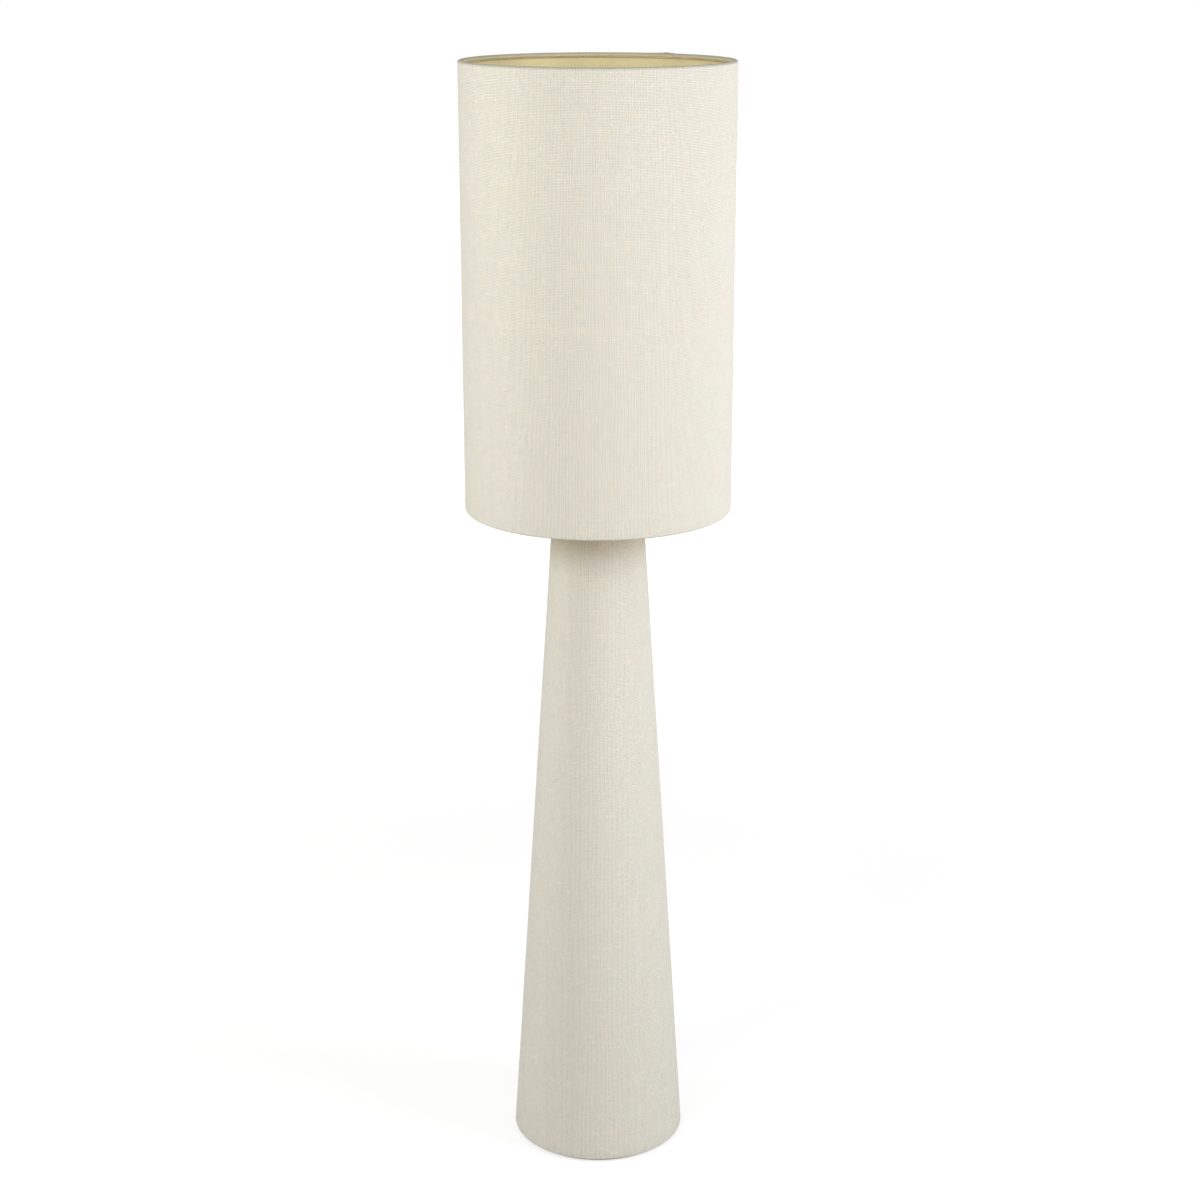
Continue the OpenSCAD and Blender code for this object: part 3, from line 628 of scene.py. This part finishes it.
def rounded(corners, radius, closed=True, steps=3):
    """A profile whose corners are rounded by about a radius, or less where its sides are short."""
    count = len(corners)
    points = []
    for i, corner in enumerate(corners):
        here = Vector(corner)
        if not closed and i in (0, count - 1):
            points.append(tuple(here))
            continue
        before, after = Vector(corners[i - 1]) - here, Vector(corners[(i + 1) % count]) - here
        start = here + before.normalized() * min(radius, before.length * 0.45)
        end = here + after.normalized() * min(radius, after.length * 0.45)
        for step in range(steps + 1):
            t = step / steps
            points.append(tuple(start * (1 - t) ** 2 + here * 2 * t * (1 - t) + end * t ** 2))
    return points


def band(inner, outer, low, high, edge):
    """The profile of a flat ring."""
    return rounded([(inner, low), (outer, low), (outer, high), (inner, high)], edge)


def spun(name, profile, steps=96, closed=True, start=0.0, sweep=math.tau):
    """A round piece: a point is drawn along a profile of radius and level, and spun about the axis.

    A part of a turn begins at the start angle and goes clockwise, as seen from above.
    """
    out = Vector((math.cos(start), math.sin(start), 0))
    up = Vector((0, 0, 1))
    path = [out * r + up * z for r, z in (profile + profile[:1] if closed else profile)]
    deselect_all()
    bpy.ops.mesh.primitive_plane_add(size=WIRE_R)
    piece = added(name)
    bpy.ops.object.mode_set(mode="EDIT")
    bpy.ops.mesh.merge(type="CENTER")
    bpy.ops.transform.translate(value=path[0])
    for here, there in zip(path, path[1:]):
        bpy.ops.mesh.extrude_region_move(TRANSFORM_OT_translate={"value": there - here})
    bpy.ops.mesh.select_all(action="SELECT")
    bpy.ops.mesh.remove_doubles(threshold=MERGE_DISTANCE)
    bpy.ops.mesh.spin(steps=steps, angle=sweep, center=(0, 0, 0), axis=(0, 0, 1))
    bpy.ops.mesh.select_all(action="SELECT")
    bpy.ops.mesh.remove_doubles(threshold=MERGE_DISTANCE)
    bpy.ops.mesh.normals_make_consistent(inside=False)
    bpy.ops.object.mode_set(mode="OBJECT")
    return piece


def face_out(piece):
    """Turns an open sheet's faces away from the lamp's axis, judged by its widest part."""
    widest = max(piece.data.polygons, key=lambda f: f.center.xy.length)
    if widest.normal.xy.dot(widest.center.xy) < 0:
        pick(piece)
        bpy.ops.object.mode_set(mode="EDIT")
        bpy.ops.mesh.select_all(action="SELECT")
        bpy.ops.mesh.flip_normals()
        bpy.ops.object.mode_set(mode="OBJECT")


def shape(piece, kind, **values):
    """Adds a modifier and applies it."""
    pick(piece)
    modifier = piece.modifiers.new(kind.lower(), kind)
    for key, value in values.items():
        setattr(modifier, key, value)
    bpy.ops.object.modifier_apply(modifier=modifier.name)


def thicken(piece, thickness, offset=-1):
    """Makes a solid of a sheet, inwards or, with an offset of 1, outwards."""
    shape(piece, "SOLIDIFY", thickness=thickness, offset=offset)


def joined(name, pieces):
    """Several meshes as one piece."""
    deselect_all()
    for piece in pieces:
        piece.select_set(True)
    bpy.context.view_layer.objects.active = pieces[0]
    bpy.ops.object.join()
    return added(name)


def rod(name, start, end, radius, vertices=24):
    """A round rod between two points."""
    start, end = Vector(start), Vector(end)
    deselect_all()
    bpy.ops.mesh.primitive_cylinder_add(vertices=vertices, radius=radius, depth=(end - start).length)
    piece = added(name)
    turn = (end - start).to_track_quat("Z", "Y").to_matrix().to_4x4()
    piece.matrix_world = Matrix.Translation((start + end) / 2) @ turn
    bpy.ops.object.transform_apply(location=True, rotation=True, scale=True)
    return piece


def cut(piece, cutter):
    """Takes a cutter's shape out of a piece, and throws the cutter away."""
    shape(piece, "BOOLEAN", object=cutter, operation="DIFFERENCE", solver="EXACT")
    bpy.data.objects.remove(cutter)


def turned_copies(piece, count):
    """Copies of a piece round the lamp's axis, itself included."""
    pieces = [piece]
    for i in range(1, count):
        copy = piece.copy()
        copy.data = piece.data.copy()
        bpy.context.collection.objects.link(copy)
        copy.data.transform(Matrix.Rotation(math.tau * i / count, 4, "Z"))
        pieces.append(copy)
    return pieces


def vertex_places(piece):
    places = np.empty(len(piece.data.vertices) * 3)
    piece.data.vertices.foreach_get("co", places)
    return places.reshape(-1, 3)


def length_along(profile, places):
    """How far along a profile each point's nearest place on it is."""
    profile = np.array(profile)
    points = np.stack([np.hypot(places[:, 0], places[:, 1]), places[:, 2]], 1)
    sides = profile[1:] - profile[:-1]
    lengths = np.linalg.norm(sides, axis=1)
    starts = np.concatenate([[0], np.cumsum(lengths)[:-1]])
    from_start = points[:, None] - profile[None, :-1]
    share = np.clip((from_start * sides).sum(2) / lengths ** 2, 0, 1)
    away = np.linalg.norm(from_start - share[..., None] * sides, axis=2)
    nearest = away.argmin(1)
    row = np.arange(len(points))
    return starts[nearest] + share[row, nearest] * lengths[nearest]


def lay_flat(piece, profile, seam, flat_place):
    """Gives a cloth its UV map: each point's place in the flat cut, from its angle past the seam and its
    length along the profile."""
    mesh = piece.data
    places = vertex_places(piece)
    along = length_along(profile, places)
    turn = (np.arctan2(places[:, 1], places[:, 0]) - seam) % math.tau
    corner = np.empty(len(mesh.loops), dtype=int)
    mesh.loops.foreach_get("vertex_index", corner)
    face_turn = np.repeat(
        [(math.atan2(f.center.y, f.center.x) - seam) % math.tau for f in mesh.polygons],
        [len(f.loop_indices) for f in mesh.polygons])
    corner_turn = turn[corner]
    corner_turn += math.tau * np.round((face_turn - corner_turn) / math.tau)
    u, v = flat_place(corner_turn, along[corner])
    layer = mesh.uv_layers.new(name=CLOTH_UV)
    layer.data.foreach_set("uv", np.stack([u, v], 1).ravel())


def ripple(piece):
    """Lets a sheet stray a little from its true round, alike at every layer."""
    cloth = bpy.context.scene.lamp_linen
    for vertex in piece.data.vertices:
        out = vertex.co.xy.normalized()
        spot = Vector((out.x * SHADE_R, out.y * SHADE_R, vertex.co.z)) / cloth.ripple_length
        vertex.co.xy += out * cloth.ripple * noise.noise(spot)
    piece.data.update()


def lay_and_ripple(piece, face, seam, flat_place):
    """Turns a rolled sheet's face out, gives it its UV map and lets it stray."""
    face_out(piece)
    lay_flat(piece, face, seam, flat_place)
    ripple(piece)


def hand_over(piece, body, slot, node, angle=40):
    """Smooths a finished piece, gives it its finish and its body, and hides the node that it stands for."""
    pick(piece)
    bpy.ops.object.shade_smooth_by_angle(angle=math.radians(angle))
    piece.data.materials.clear()
    piece.data.materials.append(finish_of(slot))
    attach(piece, body)
    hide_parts(node)


# Shade


def drum_place(start=0.0):
    """A point's place in the flat cut of a drum whose lower edge is at a start."""
    return lambda turn, along: (turn * SHADE_R, along + start)


def hem_face(top, steps=12):
    """The linen's outer face, from a ring's level over its wire and inside to the cut edge.

    Top is 1 for the upper hem and -1 for the lower one.
    """
    shade, cloth = bpy.context.scene.lamp_shade, bpy.context.scene.lamp_linen
    edge, ring = (SHADE_Z1, RING_Z) if top > 0 else (SHADE_Z0, LOW_RING_Z)
    lip = SHADE_R - 2 * HEM_BEND_R
    back = LINING_R - shade.lining - cloth.thickness - HEM_GAP
    over = arc((BEND_MIDDLE_R, ring), HEM_BEND_R, 0, 180 * top, steps)
    down = [(lip, ring), (lip, ring - top * WIRE_R)]
    down += [(back, ring - top * HEM_STEP), (back, edge - top * shade.hem)]
    return over[:-1] + rounded(down, HEM_STEP / 2, closed=False)


def shade_face():
    """The linen's outer face, from the lower cut edge round to the upper one."""
    side = straight((SHADE_R, LOW_RING_Z), (SHADE_R, RING_Z), 48)[1:]
    return hem_face(-1)[::-1] + side + hem_face(1)


def stray_hems(piece, face):
    """Lets both cut edges inside the shade wander."""
    shade = bpy.context.scene.lamp_shade
    places = vertex_places(piece)
    along = length_along(face, places)
    for vertex, place in zip(piece.data.vertices, along):
        to_end = min(place, along.max() - place)
        share = max(0.0, 1 - to_end / (shade.hem * 0.6))
        if share > 0 and vertex.co.xy.length < RING_R + WIRE_R:
            vertex.co.z += share * shade.hem_stray * noise.noise(vertex.co * 55)


def swell_over_ring(piece):
    """Lets the cloth rise over the upper ring at its lap, slowly on one side and fast on the other."""
    shade = bpy.context.scene.lamp_shade
    crest = shade.seam_azimuth + shade.seam_width / 2 / SHADE_R
    for vertex in piece.data.vertices:
        if vertex.co.z > RING_Z:
            past = (math.atan2(vertex.co.y, vertex.co.x) - crest) * SHADE_R
            share = max(0.0, 1 - abs(past) / (shade.swell_width if past > 0 else shade.swell_width / 2))
            rise = shade.swell * share * share * (3 - 2 * share)
            vertex.co.z += rise * (vertex.co.z - RING_Z) / HEM_BEND_R


def spoke_line():
    """A spoke's two ends: at the fitter's edge and in the lower ring's wire, both at the back."""
    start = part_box("shade_ring")[1].x + FITTER_WIDTH - SPOKE_BITE
    high = levels("shade_carrier")[1] - FITTER_THICK / 2
    return Vector((0, start, high)), Vector((0, RING_R, LOW_RING_Z))


class FLOORLAMP_OT_shade_cloth(bpy.types.Operator):
    """Model the shade's linen, with both hems, and its lap seam"""

    bl_idname = "floorlamp.shade_cloth"
    bl_label = "Shade Linen"

    def execute(self, context):
        shade, cloth = context.scene.lamp_shade, context.scene.lamp_linen
        face = shade_face()
        linen_piece = spun("shade_cloth", face, 192, closed=False)
        lay_and_ripple(linen_piece, face, shade.seam_azimuth, drum_place())
        stray_hems(linen_piece, face)
        swell_over_ring(linen_piece)
        thicken(linen_piece, cloth.thickness)
        inner, outer = spoke_line()
        for i in range(context.scene.lamp_fittings.spoke_count):
            turn = Matrix.Rotation(math.tau * i / context.scene.lamp_fittings.spoke_count, 4, "Z")
            cut(linen_piece, rod("spoke_notch", turn @ inner, turn @ outer, NOTCH_R))
        hand_over(linen_piece, "shade", "shade_linen", "shade_linen", angle=50)

        lap_face = [self.lifted(*point) for point in face]
        span = shade.seam_width / SHADE_R
        lap = spun("shade_lap", lap_face, 8, closed=False, start=shade.seam_azimuth + span / 2, sweep=span)
        lay_and_ripple(lap, lap_face, shade.seam_azimuth + math.pi, drum_place())
        swell_over_ring(lap)
        thicken(lap, cloth.thickness)
        hand_over(lap, "shade", "shade_linen", "shade_seam", angle=50)
        cut_length = sum(math.dist(a, b) for a, b in zip(face, face[1:]))
        return {"FINISHED"}

    def lifted(self, r, z):
        """A point of the lap's face: a cloth's thickness further out, and less where it is pressed over a ring."""
        ring = min(max(z, LOW_RING_Z), RING_Z)
        out = Vector((r - SHADE_R + HEM_BEND_R, z - ring)).normalized()
        lift = bpy.context.scene.lamp_linen.thickness * (1 - 0.45 * abs(z - ring) / HEM_BEND_R)
        return r + out.x * lift, z + out.y * lift


class FLOORLAMP_OT_shade_lining(bpy.types.Operator):
    """Model the stiff gold lining inside the shade"""

    bl_idname = "floorlamp.shade_lining"
    bl_label = "Shade Lining"

    def execute(self, context):
        shade = context.scene.lamp_shade
        bore = LINING_R - shade.lining
        face = straight((bore, LINING_Z0), (bore, LINING_Z1), 36) + [(bore, LINING_Z1)]
        lining = spun("gold_lining", face, 192, closed=False)
        lay_and_ripple(lining, face, shade.seam_azimuth, drum_place(LINING_Z0))
        thicken(lining, shade.lining, offset=1)
        hand_over(lining, "shade", "lining", "shade_lining")
        return {"FINISHED"}


class FLOORLAMP_OT_wire_frame(bpy.types.Operator):
    """Model the shade's top ring, and its carrier: lower ring, spokes and fitter, welded"""

    bl_idname = "floorlamp.wire_frame"
    bl_label = "Wire Frame"

    def execute(self, context):
        fitting = context.scene.lamp_fittings
        top_ring = self.ring("top_ring", RING_Z)
        hand_over(top_ring, "shade", "white_paint", "shade_top_ring", angle=60)

        lower_ring = self.ring("lower_ring", LOW_RING_Z)
        inner, outer = spoke_line()
        fitter_z1 = levels("shade_carrier")[1]
        fitter_z0 = fitter_z1 - FITTER_THICK
        fitter_r = inner.y + SPOKE_BITE
        hole_r = radius_at("holder_body", levels("holder_body")[1]) + FITTER_PLAY
        fitter = spun("fitter", band(hole_r, fitter_r, fitter_z0, fitter_z1, fitting.edge))
        spoke = rod("spoke", inner, outer, fitting.spoke / 2)
        arm = joined("arm", [spoke, *(self.bead(spot, fitting.weld) for spot in (inner, outer))])
        carrier = joined("shade_frame", [lower_ring, fitter, *turned_copies(arm, fitting.spoke_count)])
        hand_over(carrier, "shade", "white_paint", "shade_carrier", angle=50)
        return {"FINISHED"}

    def ring(self, name, level):
        sides = 16
        return spun(name, arc((RING_R, level), WIRE_R, 0, 360 - 360 / sides, sides - 1), 192)

    def bead(self, spot, radius):
        """A weld bead, a little flattened."""
        deselect_all()
        bpy.ops.mesh.primitive_uv_sphere_add(
            segments=20, ring_count=12, radius=radius, location=spot)
        bead = added("bead")
        bpy.ops.object.mode_set(mode="EDIT")
        bpy.ops.transform.resize(value=(1.15, 0.95, 0.72))
        bpy.ops.object.mode_set(mode="OBJECT")
        bpy.ops.object.transform_apply(location=True)
        return bead


# Column


def column_face():
    """The linen's outer face, from the cut edge under the base up to the one on top."""
    column = bpy.context.scene.lamp_column
    foot = arc((column_radius(COLUMN_LOW) - COLUMN_EDGE_R, COLUMN_LOW), COLUMN_EDGE_R, -90, 0, 6)
    head = arc((column_radius(COLUMN_HIGH) - COLUMN_EDGE_R, COLUMN_HIGH), COLUMN_EDGE_R, 0, 90, 6)
    inner = column_radius(COLUMN_Z0) - column.foot_turn
    top_inner = column_radius(COLUMN_Z1) - column.top_turn
    under = straight((inner, COLUMN_Z0), foot[0], 4)
    over = straight(head[-1], (top_inner, COLUMN_Z1), 4)[1:] + [(top_inner, COLUMN_Z1)]
    return under + foot[:-1] + straight(foot[-1], head[0], 80) + head + over


def cone_cut():
    """How the column's cloth lies flat: the slope's sine, and how far its top is from the cone's tip."""
    rise = COLUMN_Z1 - COLUMN_Z0
    taper = column_radius(COLUMN_Z0) - column_radius(COLUMN_Z1)
    sine = taper / math.hypot(taper, rise)
    return sine, column_radius(COLUMN_Z1) / sine


def cone_place(face):
    """A point's place in the flat cut of the cone, which is a sector whose middle is the lamp's front."""
    sine, _ = cone_cut()
    foot_r = column_radius(COLUMN_LOW)
    foot_along = float(length_along(face, np.array([[foot_r, 0, COLUMN_LOW]]))[0])
    foot_out = foot_r / sine

    def flat(turn, along):
        out = foot_out - (along - foot_along)
        angle = (turn - math.pi) * sine
        return out * np.sin(angle), -out * np.cos(angle)

    return flat


def inlet_hole(radius):
    """A cutter along the cord inlet."""
    return rod("inlet_hole", (0, INLET_LOW.y / 2, INLET_Z), (0, INLET_HIGH.y * 1.2, INLET_Z), radius, 64)


class FLOORLAMP_OT_column_cloth(bpy.types.Operator):
    """Model the column's linen, turned in at both ends, and its lap seam at the back"""

    bl_idname = "floorlamp.column_cloth"
    bl_label = "Column Linen"

    def execute(self, context):
        column, cloth = context.scene.lamp_column, context.scene.lamp_linen
        back = math.pi / 2
        face = column_face()
        cover = spun("column_cloth", face, 160, closed=False)
        lay_and_ripple(cover, face, back, cone_place(face))
        thicken(cover, cloth.thickness)
        cut(cover, inlet_hole(column.neck / 2))
        hand_over(cover, "stand", "column_linen", "column_cover", angle=50)

        side = straight((0, COLUMN_LOW), (0, COLUMN_HIGH), 80) + [(0, COLUMN_HIGH)]
        lap_face = [(column_radius(z) + cloth.thickness, z) for _, z in side]
        low_r = column_radius(COLUMN_LOW)
        half_turn = column.seam_width / 2 / low_r
        lap = spun("column_lap", lap_face, 6, closed=False, start=back + half_turn, sweep=2 * half_turn)
        for vertex in lap.data.vertices:
            vertex.co.x *= low_r / column_radius(vertex.co.z)
            vertex.co.y = math.sqrt((column_radius(vertex.co.z) + cloth.thickness) ** 2 - vertex.co.x ** 2)
        lay_and_ripple(lap, lap_face, back + math.pi, cone_place(lap_face))
        thicken(lap, cloth.thickness)
        cut(lap, inlet_hole(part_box("inlet_grommet")[1].x + PLAY))
        hand_over(lap, "stand", "column_linen", "column_seam", angle=50)

        return {"FINISHED"}


class FLOORLAMP_OT_foot(bpy.types.Operator):
    """Model the felt under the base"""

    bl_idname = "floorlamp.foot"
    bl_label = "Foot"

    def execute(self, context):
        column = context.scene.lamp_column
        felt_r, felt_z = reach("base_felt"), levels("base_felt")[1]
        side = [(0, 0), (felt_r, 0), (felt_r, felt_z), (0, felt_z)]
        pad = spun("felt_pad", rounded(side, column.felt_edge, closed=False), 128, closed=False)
        hand_over(pad, "stand", "felt", "base_felt")
        return {"FINISHED"}


# Neck and lampholder


class FLOORLAMP_OT_lampholder(bpy.types.Operator):
    """Model the painted plate on the column, and the lampholder's cap and body"""

    bl_idname = "floorlamp.lampholder"
    bl_label = "Lampholder"

    def execute(self, context):
        edge = context.scene.lamp_fittings.edge
        bore = reach("threaded_nipple") + PLAY
        z0, z1 = levels("top_plate")
        plate_r = reach("top_plate")
        plate = spun("neck_plate", band(bore, plate_r, z0, z1, edge), 128)
        hand_over(plate, "stand", "white_paint", "top_plate")

        z0, z1 = levels("holder_cap")
        belt = reach("holder_cap")
        neck = belt * 0.42
        cap = spun("lampholder_cap", rounded([
            (bore, z0), (neck, z0), (neck, z0 + 0.010), (belt, z1 - 0.004), (belt, z1), (belt - 0.002, z1),
            (belt - 0.002, z1 - 0.003), (neck - 0.001, z0 + 0.011), (bore, z0 + 0.010)], edge * 2), 96)
        hand_over(cap, "stand", "white_plastic", "holder_cap")

        z0, z1 = levels("holder_body")
        shoulder = reach("holder_body")
        mouth_r = radius_at("holder_body", z1)
        thread_r = mouth_r + 0.0005
        bore = radius_at("holder_insert", levels("holder_insert")[1]) + PLAY
        lamp_bore = reach("screw_shell") + PLAY
        thread_z0, thread_z1 = z0 + 0.007, z1 - 0.0124
        pitch = context.scene.lamp_fittings.thread
        ridges = []
        for i in range(int((thread_z1 - thread_z0) / pitch) - 1):
            z = thread_z0 + (i + 0.5) * pitch
            ridges += [(mouth_r, z), (thread_r, z + pitch * 0.35), (thread_r, z + pitch * 0.65),
                       (mouth_r, z + pitch)]
        body = spun("lampholder_body", rounded([
            (bore, z0), (belt, z0), (belt, z0 + 0.004), (shoulder, z0 + 0.004), (shoulder, z0 + 0.007),
            (mouth_r, z0 + 0.007), *ridges[1:], (mouth_r, z1), (lamp_bore, z1),
            (lamp_bore, levels("holder_insert")[1]), (bore, levels("holder_insert")[1])], edge), 96)
        hand_over(body, "stand", "white_plastic", "holder_body")
        return {"FINISHED"}


class FLOORLAMP_OT_shade_ring(bpy.types.Operator):
    """Model the ribbed ring that clamps the shade"""

    bl_idname = "floorlamp.shade_ring"
    bl_label = "Shade Ring"

    def execute(self, context):
        fitting = context.scene.lamp_fittings
        z0, z1 = levels("shade_ring")
        flange = reach("shade_ring")
        bore = flange - 0.0058
        sleeve = flange - 0.0032
        step = z0 + 0.0025
        corners = [(bore, z0), (flange, z0), (flange, step), (sleeve, step), (sleeve, z1), (bore, z1)]
        ring = spun("ring_sleeve", rounded(corners, fitting.edge), 96)
        rib = rod("rib", (sleeve, 0, z0 + 0.0012), (sleeve, 0, z1 - 0.001), 0.0008, 12)
        shape(rib, "BEVEL", width=0.0003, segments=2, limit_method="ANGLE")
        ring = joined("clamp_ring", [ring, *turned_copies(rib, fitting.ribs)])
        hand_over(ring, "ring", "white_plastic", "shade_ring")
        return {"FINISHED"}


class FLOORLAMP_OT_bulb(bpy.types.Operator):
    """Model the bulb: opal globe, housing and screw cap"""

    bl_idname = "floorlamp.bulb"
    bl_label = "Bulb"

    def execute(self, context):
        edge = context.scene.lamp_fittings.edge
        radius = round(reach("bulb_globe"), 4)
        rim_z, top_z = levels("bulb_globe")
        centre_z = top_z - radius
        rim_angle = math.degrees(math.asin((rim_z - centre_z) / radius))
        inner_r = radius - BULB_WALL
        inner_angle = math.degrees(math.asin((rim_z - centre_z) / inner_r))
        globe = spun("opal_globe", arc((0, centre_z), radius, rim_angle, 90, 24)
                     + arc((0, centre_z), inner_r, 90, inner_angle, 24), 96)
        hand_over(globe, "bulb", "opal", "bulb_globe", angle=50)

        z0, z1 = levels("bulb_housing")
        rim_r = reach("bulb_housing")
        neck_r = radius_at("bulb_housing", z0)
        neck_z = levels("holder_body")[1] + 0.003
        side = [(neck_r + (rim_r - neck_r) * t * t * (3 - 2 * t), neck_z + (z1 - neck_z) * t)
                for t in (i / 16 for i in range(17))]
        outer = [(neck_r, z0), *side]
        inner = [(r - BULB_WALL, z) for r, z in outer]
        housing = spun("bulb_body", outer + inner[::-1], 96)
        shape(housing, "BEVEL", width=edge * 0.5, segments=2, limit_method="ANGLE",
              angle_limit=math.radians(50))
        hand_over(housing, "bulb", "white_plastic", "bulb_housing", angle=50)

        z0, z1 = levels("bulb_cap")
        crest = reach("bulb_cap")
        root = crest - CAP_THREAD
        thread = [(root, z0)]
        for i in range(4):
            for step in range(9):
                share = step / 8
                swell = math.sin(math.pi * share) ** 1.5
                thread.append((root + (crest - root) * swell, z0 + 0.0014 + (i + share) * CAP_PITCH))
        cap = spun("screw_cap", [*thread, (root, z1), (root - 0.0005, z1), (root - 0.0005, z0)], 96)
        hand_over(cap, "bulb", "nickel", "bulb_cap", angle=50)
        return {"FINISHED"}


class FLOORLAMP_OT_inner_pieces(bpy.types.Operator):
    """Finish the pieces that keep their own shape"""

    bl_idname = "floorlamp.inner_pieces"
    bl_label = "Inner Pieces"

    def execute(self, context):
        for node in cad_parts.values():
            if not node.hide_render:
                node.data.materials[0] = finish_of(node.data.materials[0].name)
        return {"FINISHED"}


# Stage


def look_at(place, target):
    return (Vector(target) - Vector(place)).to_track_quat("-Z", "Y").to_euler()


class FLOORLAMP_OT_stage(bpy.types.Operator):
    """Set the floor, the lamps, the white surroundings and the camera"""

    bl_idname = "floorlamp.stage"
    bl_label = "Stage"

    def execute(self, context):
        self.floor(context.scene.lamp_stage)
        self.sky(context.scene.lamp_stage)
        self.lamps(context.scene.lamp_stage)
        self.camera(context.scene.lamp_stage)
        context.scene.view_settings.view_transform = "Standard"
        return {"FINISHED"}

    def floor(self, stage):
        deselect_all()
        bpy.ops.mesh.primitive_circle_add(
            vertices=96, radius=stage.floor_radius, fill_type="NGON", location=(0, 0, -stage.floor_gap))
        floor = bpy.context.object
        floor.name = "floor"
        made = Finish("floor_white", Base_Color=tuple(stage.floor), Roughness=0.9, Specular_IOR_Level=0.1)
        level = made.spread(made.length(made.place()), 0.9, 3.2, 0.66, 1.0, smooth=True)
        glow = made.node("Emission", {"Strength": made.math("MULTIPLY", made.seen(), level)})
        both = made.node("AddShader", (made.shader.outputs[0], glow.outputs[0]))
        see_through = made.node("BsdfTransparent").outputs[0]
        from_below = made.node("NewGeometry").outputs["Backfacing"]
        seen = made.node("MixShader", (from_below, both.outputs[0], see_through))
        made.put(made.output.inputs["Surface"], seen.outputs[0])
        floor.data.materials.append(made.material)

    def sky(self, stage):
        world = bpy.data.worlds.new("white_surroundings")
        bpy.context.scene.world = world
        world.use_nodes = True
        made = Nodes(world.node_tree)
        background = made.tree.nodes["Background"].inputs
        made.put(background["Color"], (1, 1, 1))
        made.put(background["Strength"], made.spread(made.seen(), 0.0, 1.0, stage.sky, 1.0))

    def lamps(self, stage):
        for name, azimuth, level, power, tint in (
            ("left_lamp", -100, 0.9, stage.left, (1.0, 1.0, 1.0)),
            ("front_lamp", -40, 1.7, stage.front, (1.0, 0.99, 0.93)),
            ("right_lamp", 70, 0.9, stage.right, (0.98, 0.98, 1.0)),
            ("high_lamp", 70, 1.7, stage.high, (0.98, 0.98, 1.0)),
        ):
            turn = math.radians(azimuth)
            place = (stage.lamp_distance * math.sin(turn), -stage.lamp_distance * math.cos(turn), level)
            bpy.ops.object.light_add(type="AREA", location=place, rotation=look_at(place, (0, 0, 1)))
            lamp = bpy.context.object
            lamp.name = name
            lamp.data.size = stage.lamp_size
            lamp.data.energy = power
            lamp.data.color = tint
            lamp.visible_camera = False

    def camera(self, stage):
        bpy.ops.object.camera_add(location=stage.eye, rotation=(math.pi / 2 - stage.tilt, 0, 0))
        camera = bpy.context.object
        camera.data.lens = stage.lens
        camera.data.sensor_width = 36.0
        bpy.context.scene.camera = camera


class FLOORLAMP_PT_panel(bpy.types.Panel):
    """Sizes, colours and steps of the floor lamp"""

    bl_label = "Floor Lamp"
    bl_idname = "FLOORLAMP_PT_panel"
    bl_space_type = "VIEW_3D"
    bl_region_type = "UI"
    bl_category = "Floor Lamp"

    def draw(self, context):
        for name, group in SETTINGS.items():
            box = self.layout.box()
            box.label(text=group.__doc__)
            for key in group.__annotations__:
                box.prop(getattr(context.scene, name), key)
        for step in STEPS:
            self.layout.operator(step.bl_idname)


STEPS = (
    FLOORLAMP_OT_shade_cloth,
    FLOORLAMP_OT_shade_lining,
    FLOORLAMP_OT_wire_frame,
    FLOORLAMP_OT_column_cloth,
    FLOORLAMP_OT_foot,
    FLOORLAMP_OT_lampholder,
    FLOORLAMP_OT_shade_ring,
    FLOORLAMP_OT_bulb,
    FLOORLAMP_OT_inner_pieces,
    FLOORLAMP_OT_stage,
)


def register():
    for group in SETTINGS.values():
        bpy.utils.register_class(group)
    for name, group in SETTINGS.items():
        setattr(bpy.types.Scene, name, PointerProperty(type=group))
    for step in STEPS:
        bpy.utils.register_class(step)
    bpy.utils.register_class(FLOORLAMP_PT_panel)


def unregister():
    bpy.utils.unregister_class(FLOORLAMP_PT_panel)
    for step in reversed(STEPS):
        bpy.utils.unregister_class(step)
    for name, group in reversed(SETTINGS.items()):
        delattr(bpy.types.Scene, name)
        bpy.utils.unregister_class(group)


def main():
    register()
    bpy.ops.floorlamp.shade_cloth()
    bpy.ops.floorlamp.shade_lining()
    bpy.ops.floorlamp.wire_frame()
    bpy.ops.floorlamp.column_cloth()
    bpy.ops.floorlamp.foot()
    bpy.ops.floorlamp.lampholder()
    bpy.ops.floorlamp.shade_ring()
    bpy.ops.floorlamp.bulb()
    bpy.ops.floorlamp.inner_pieces()
    bpy.ops.floorlamp.stage()


if __name__ == "__main__":
    main()
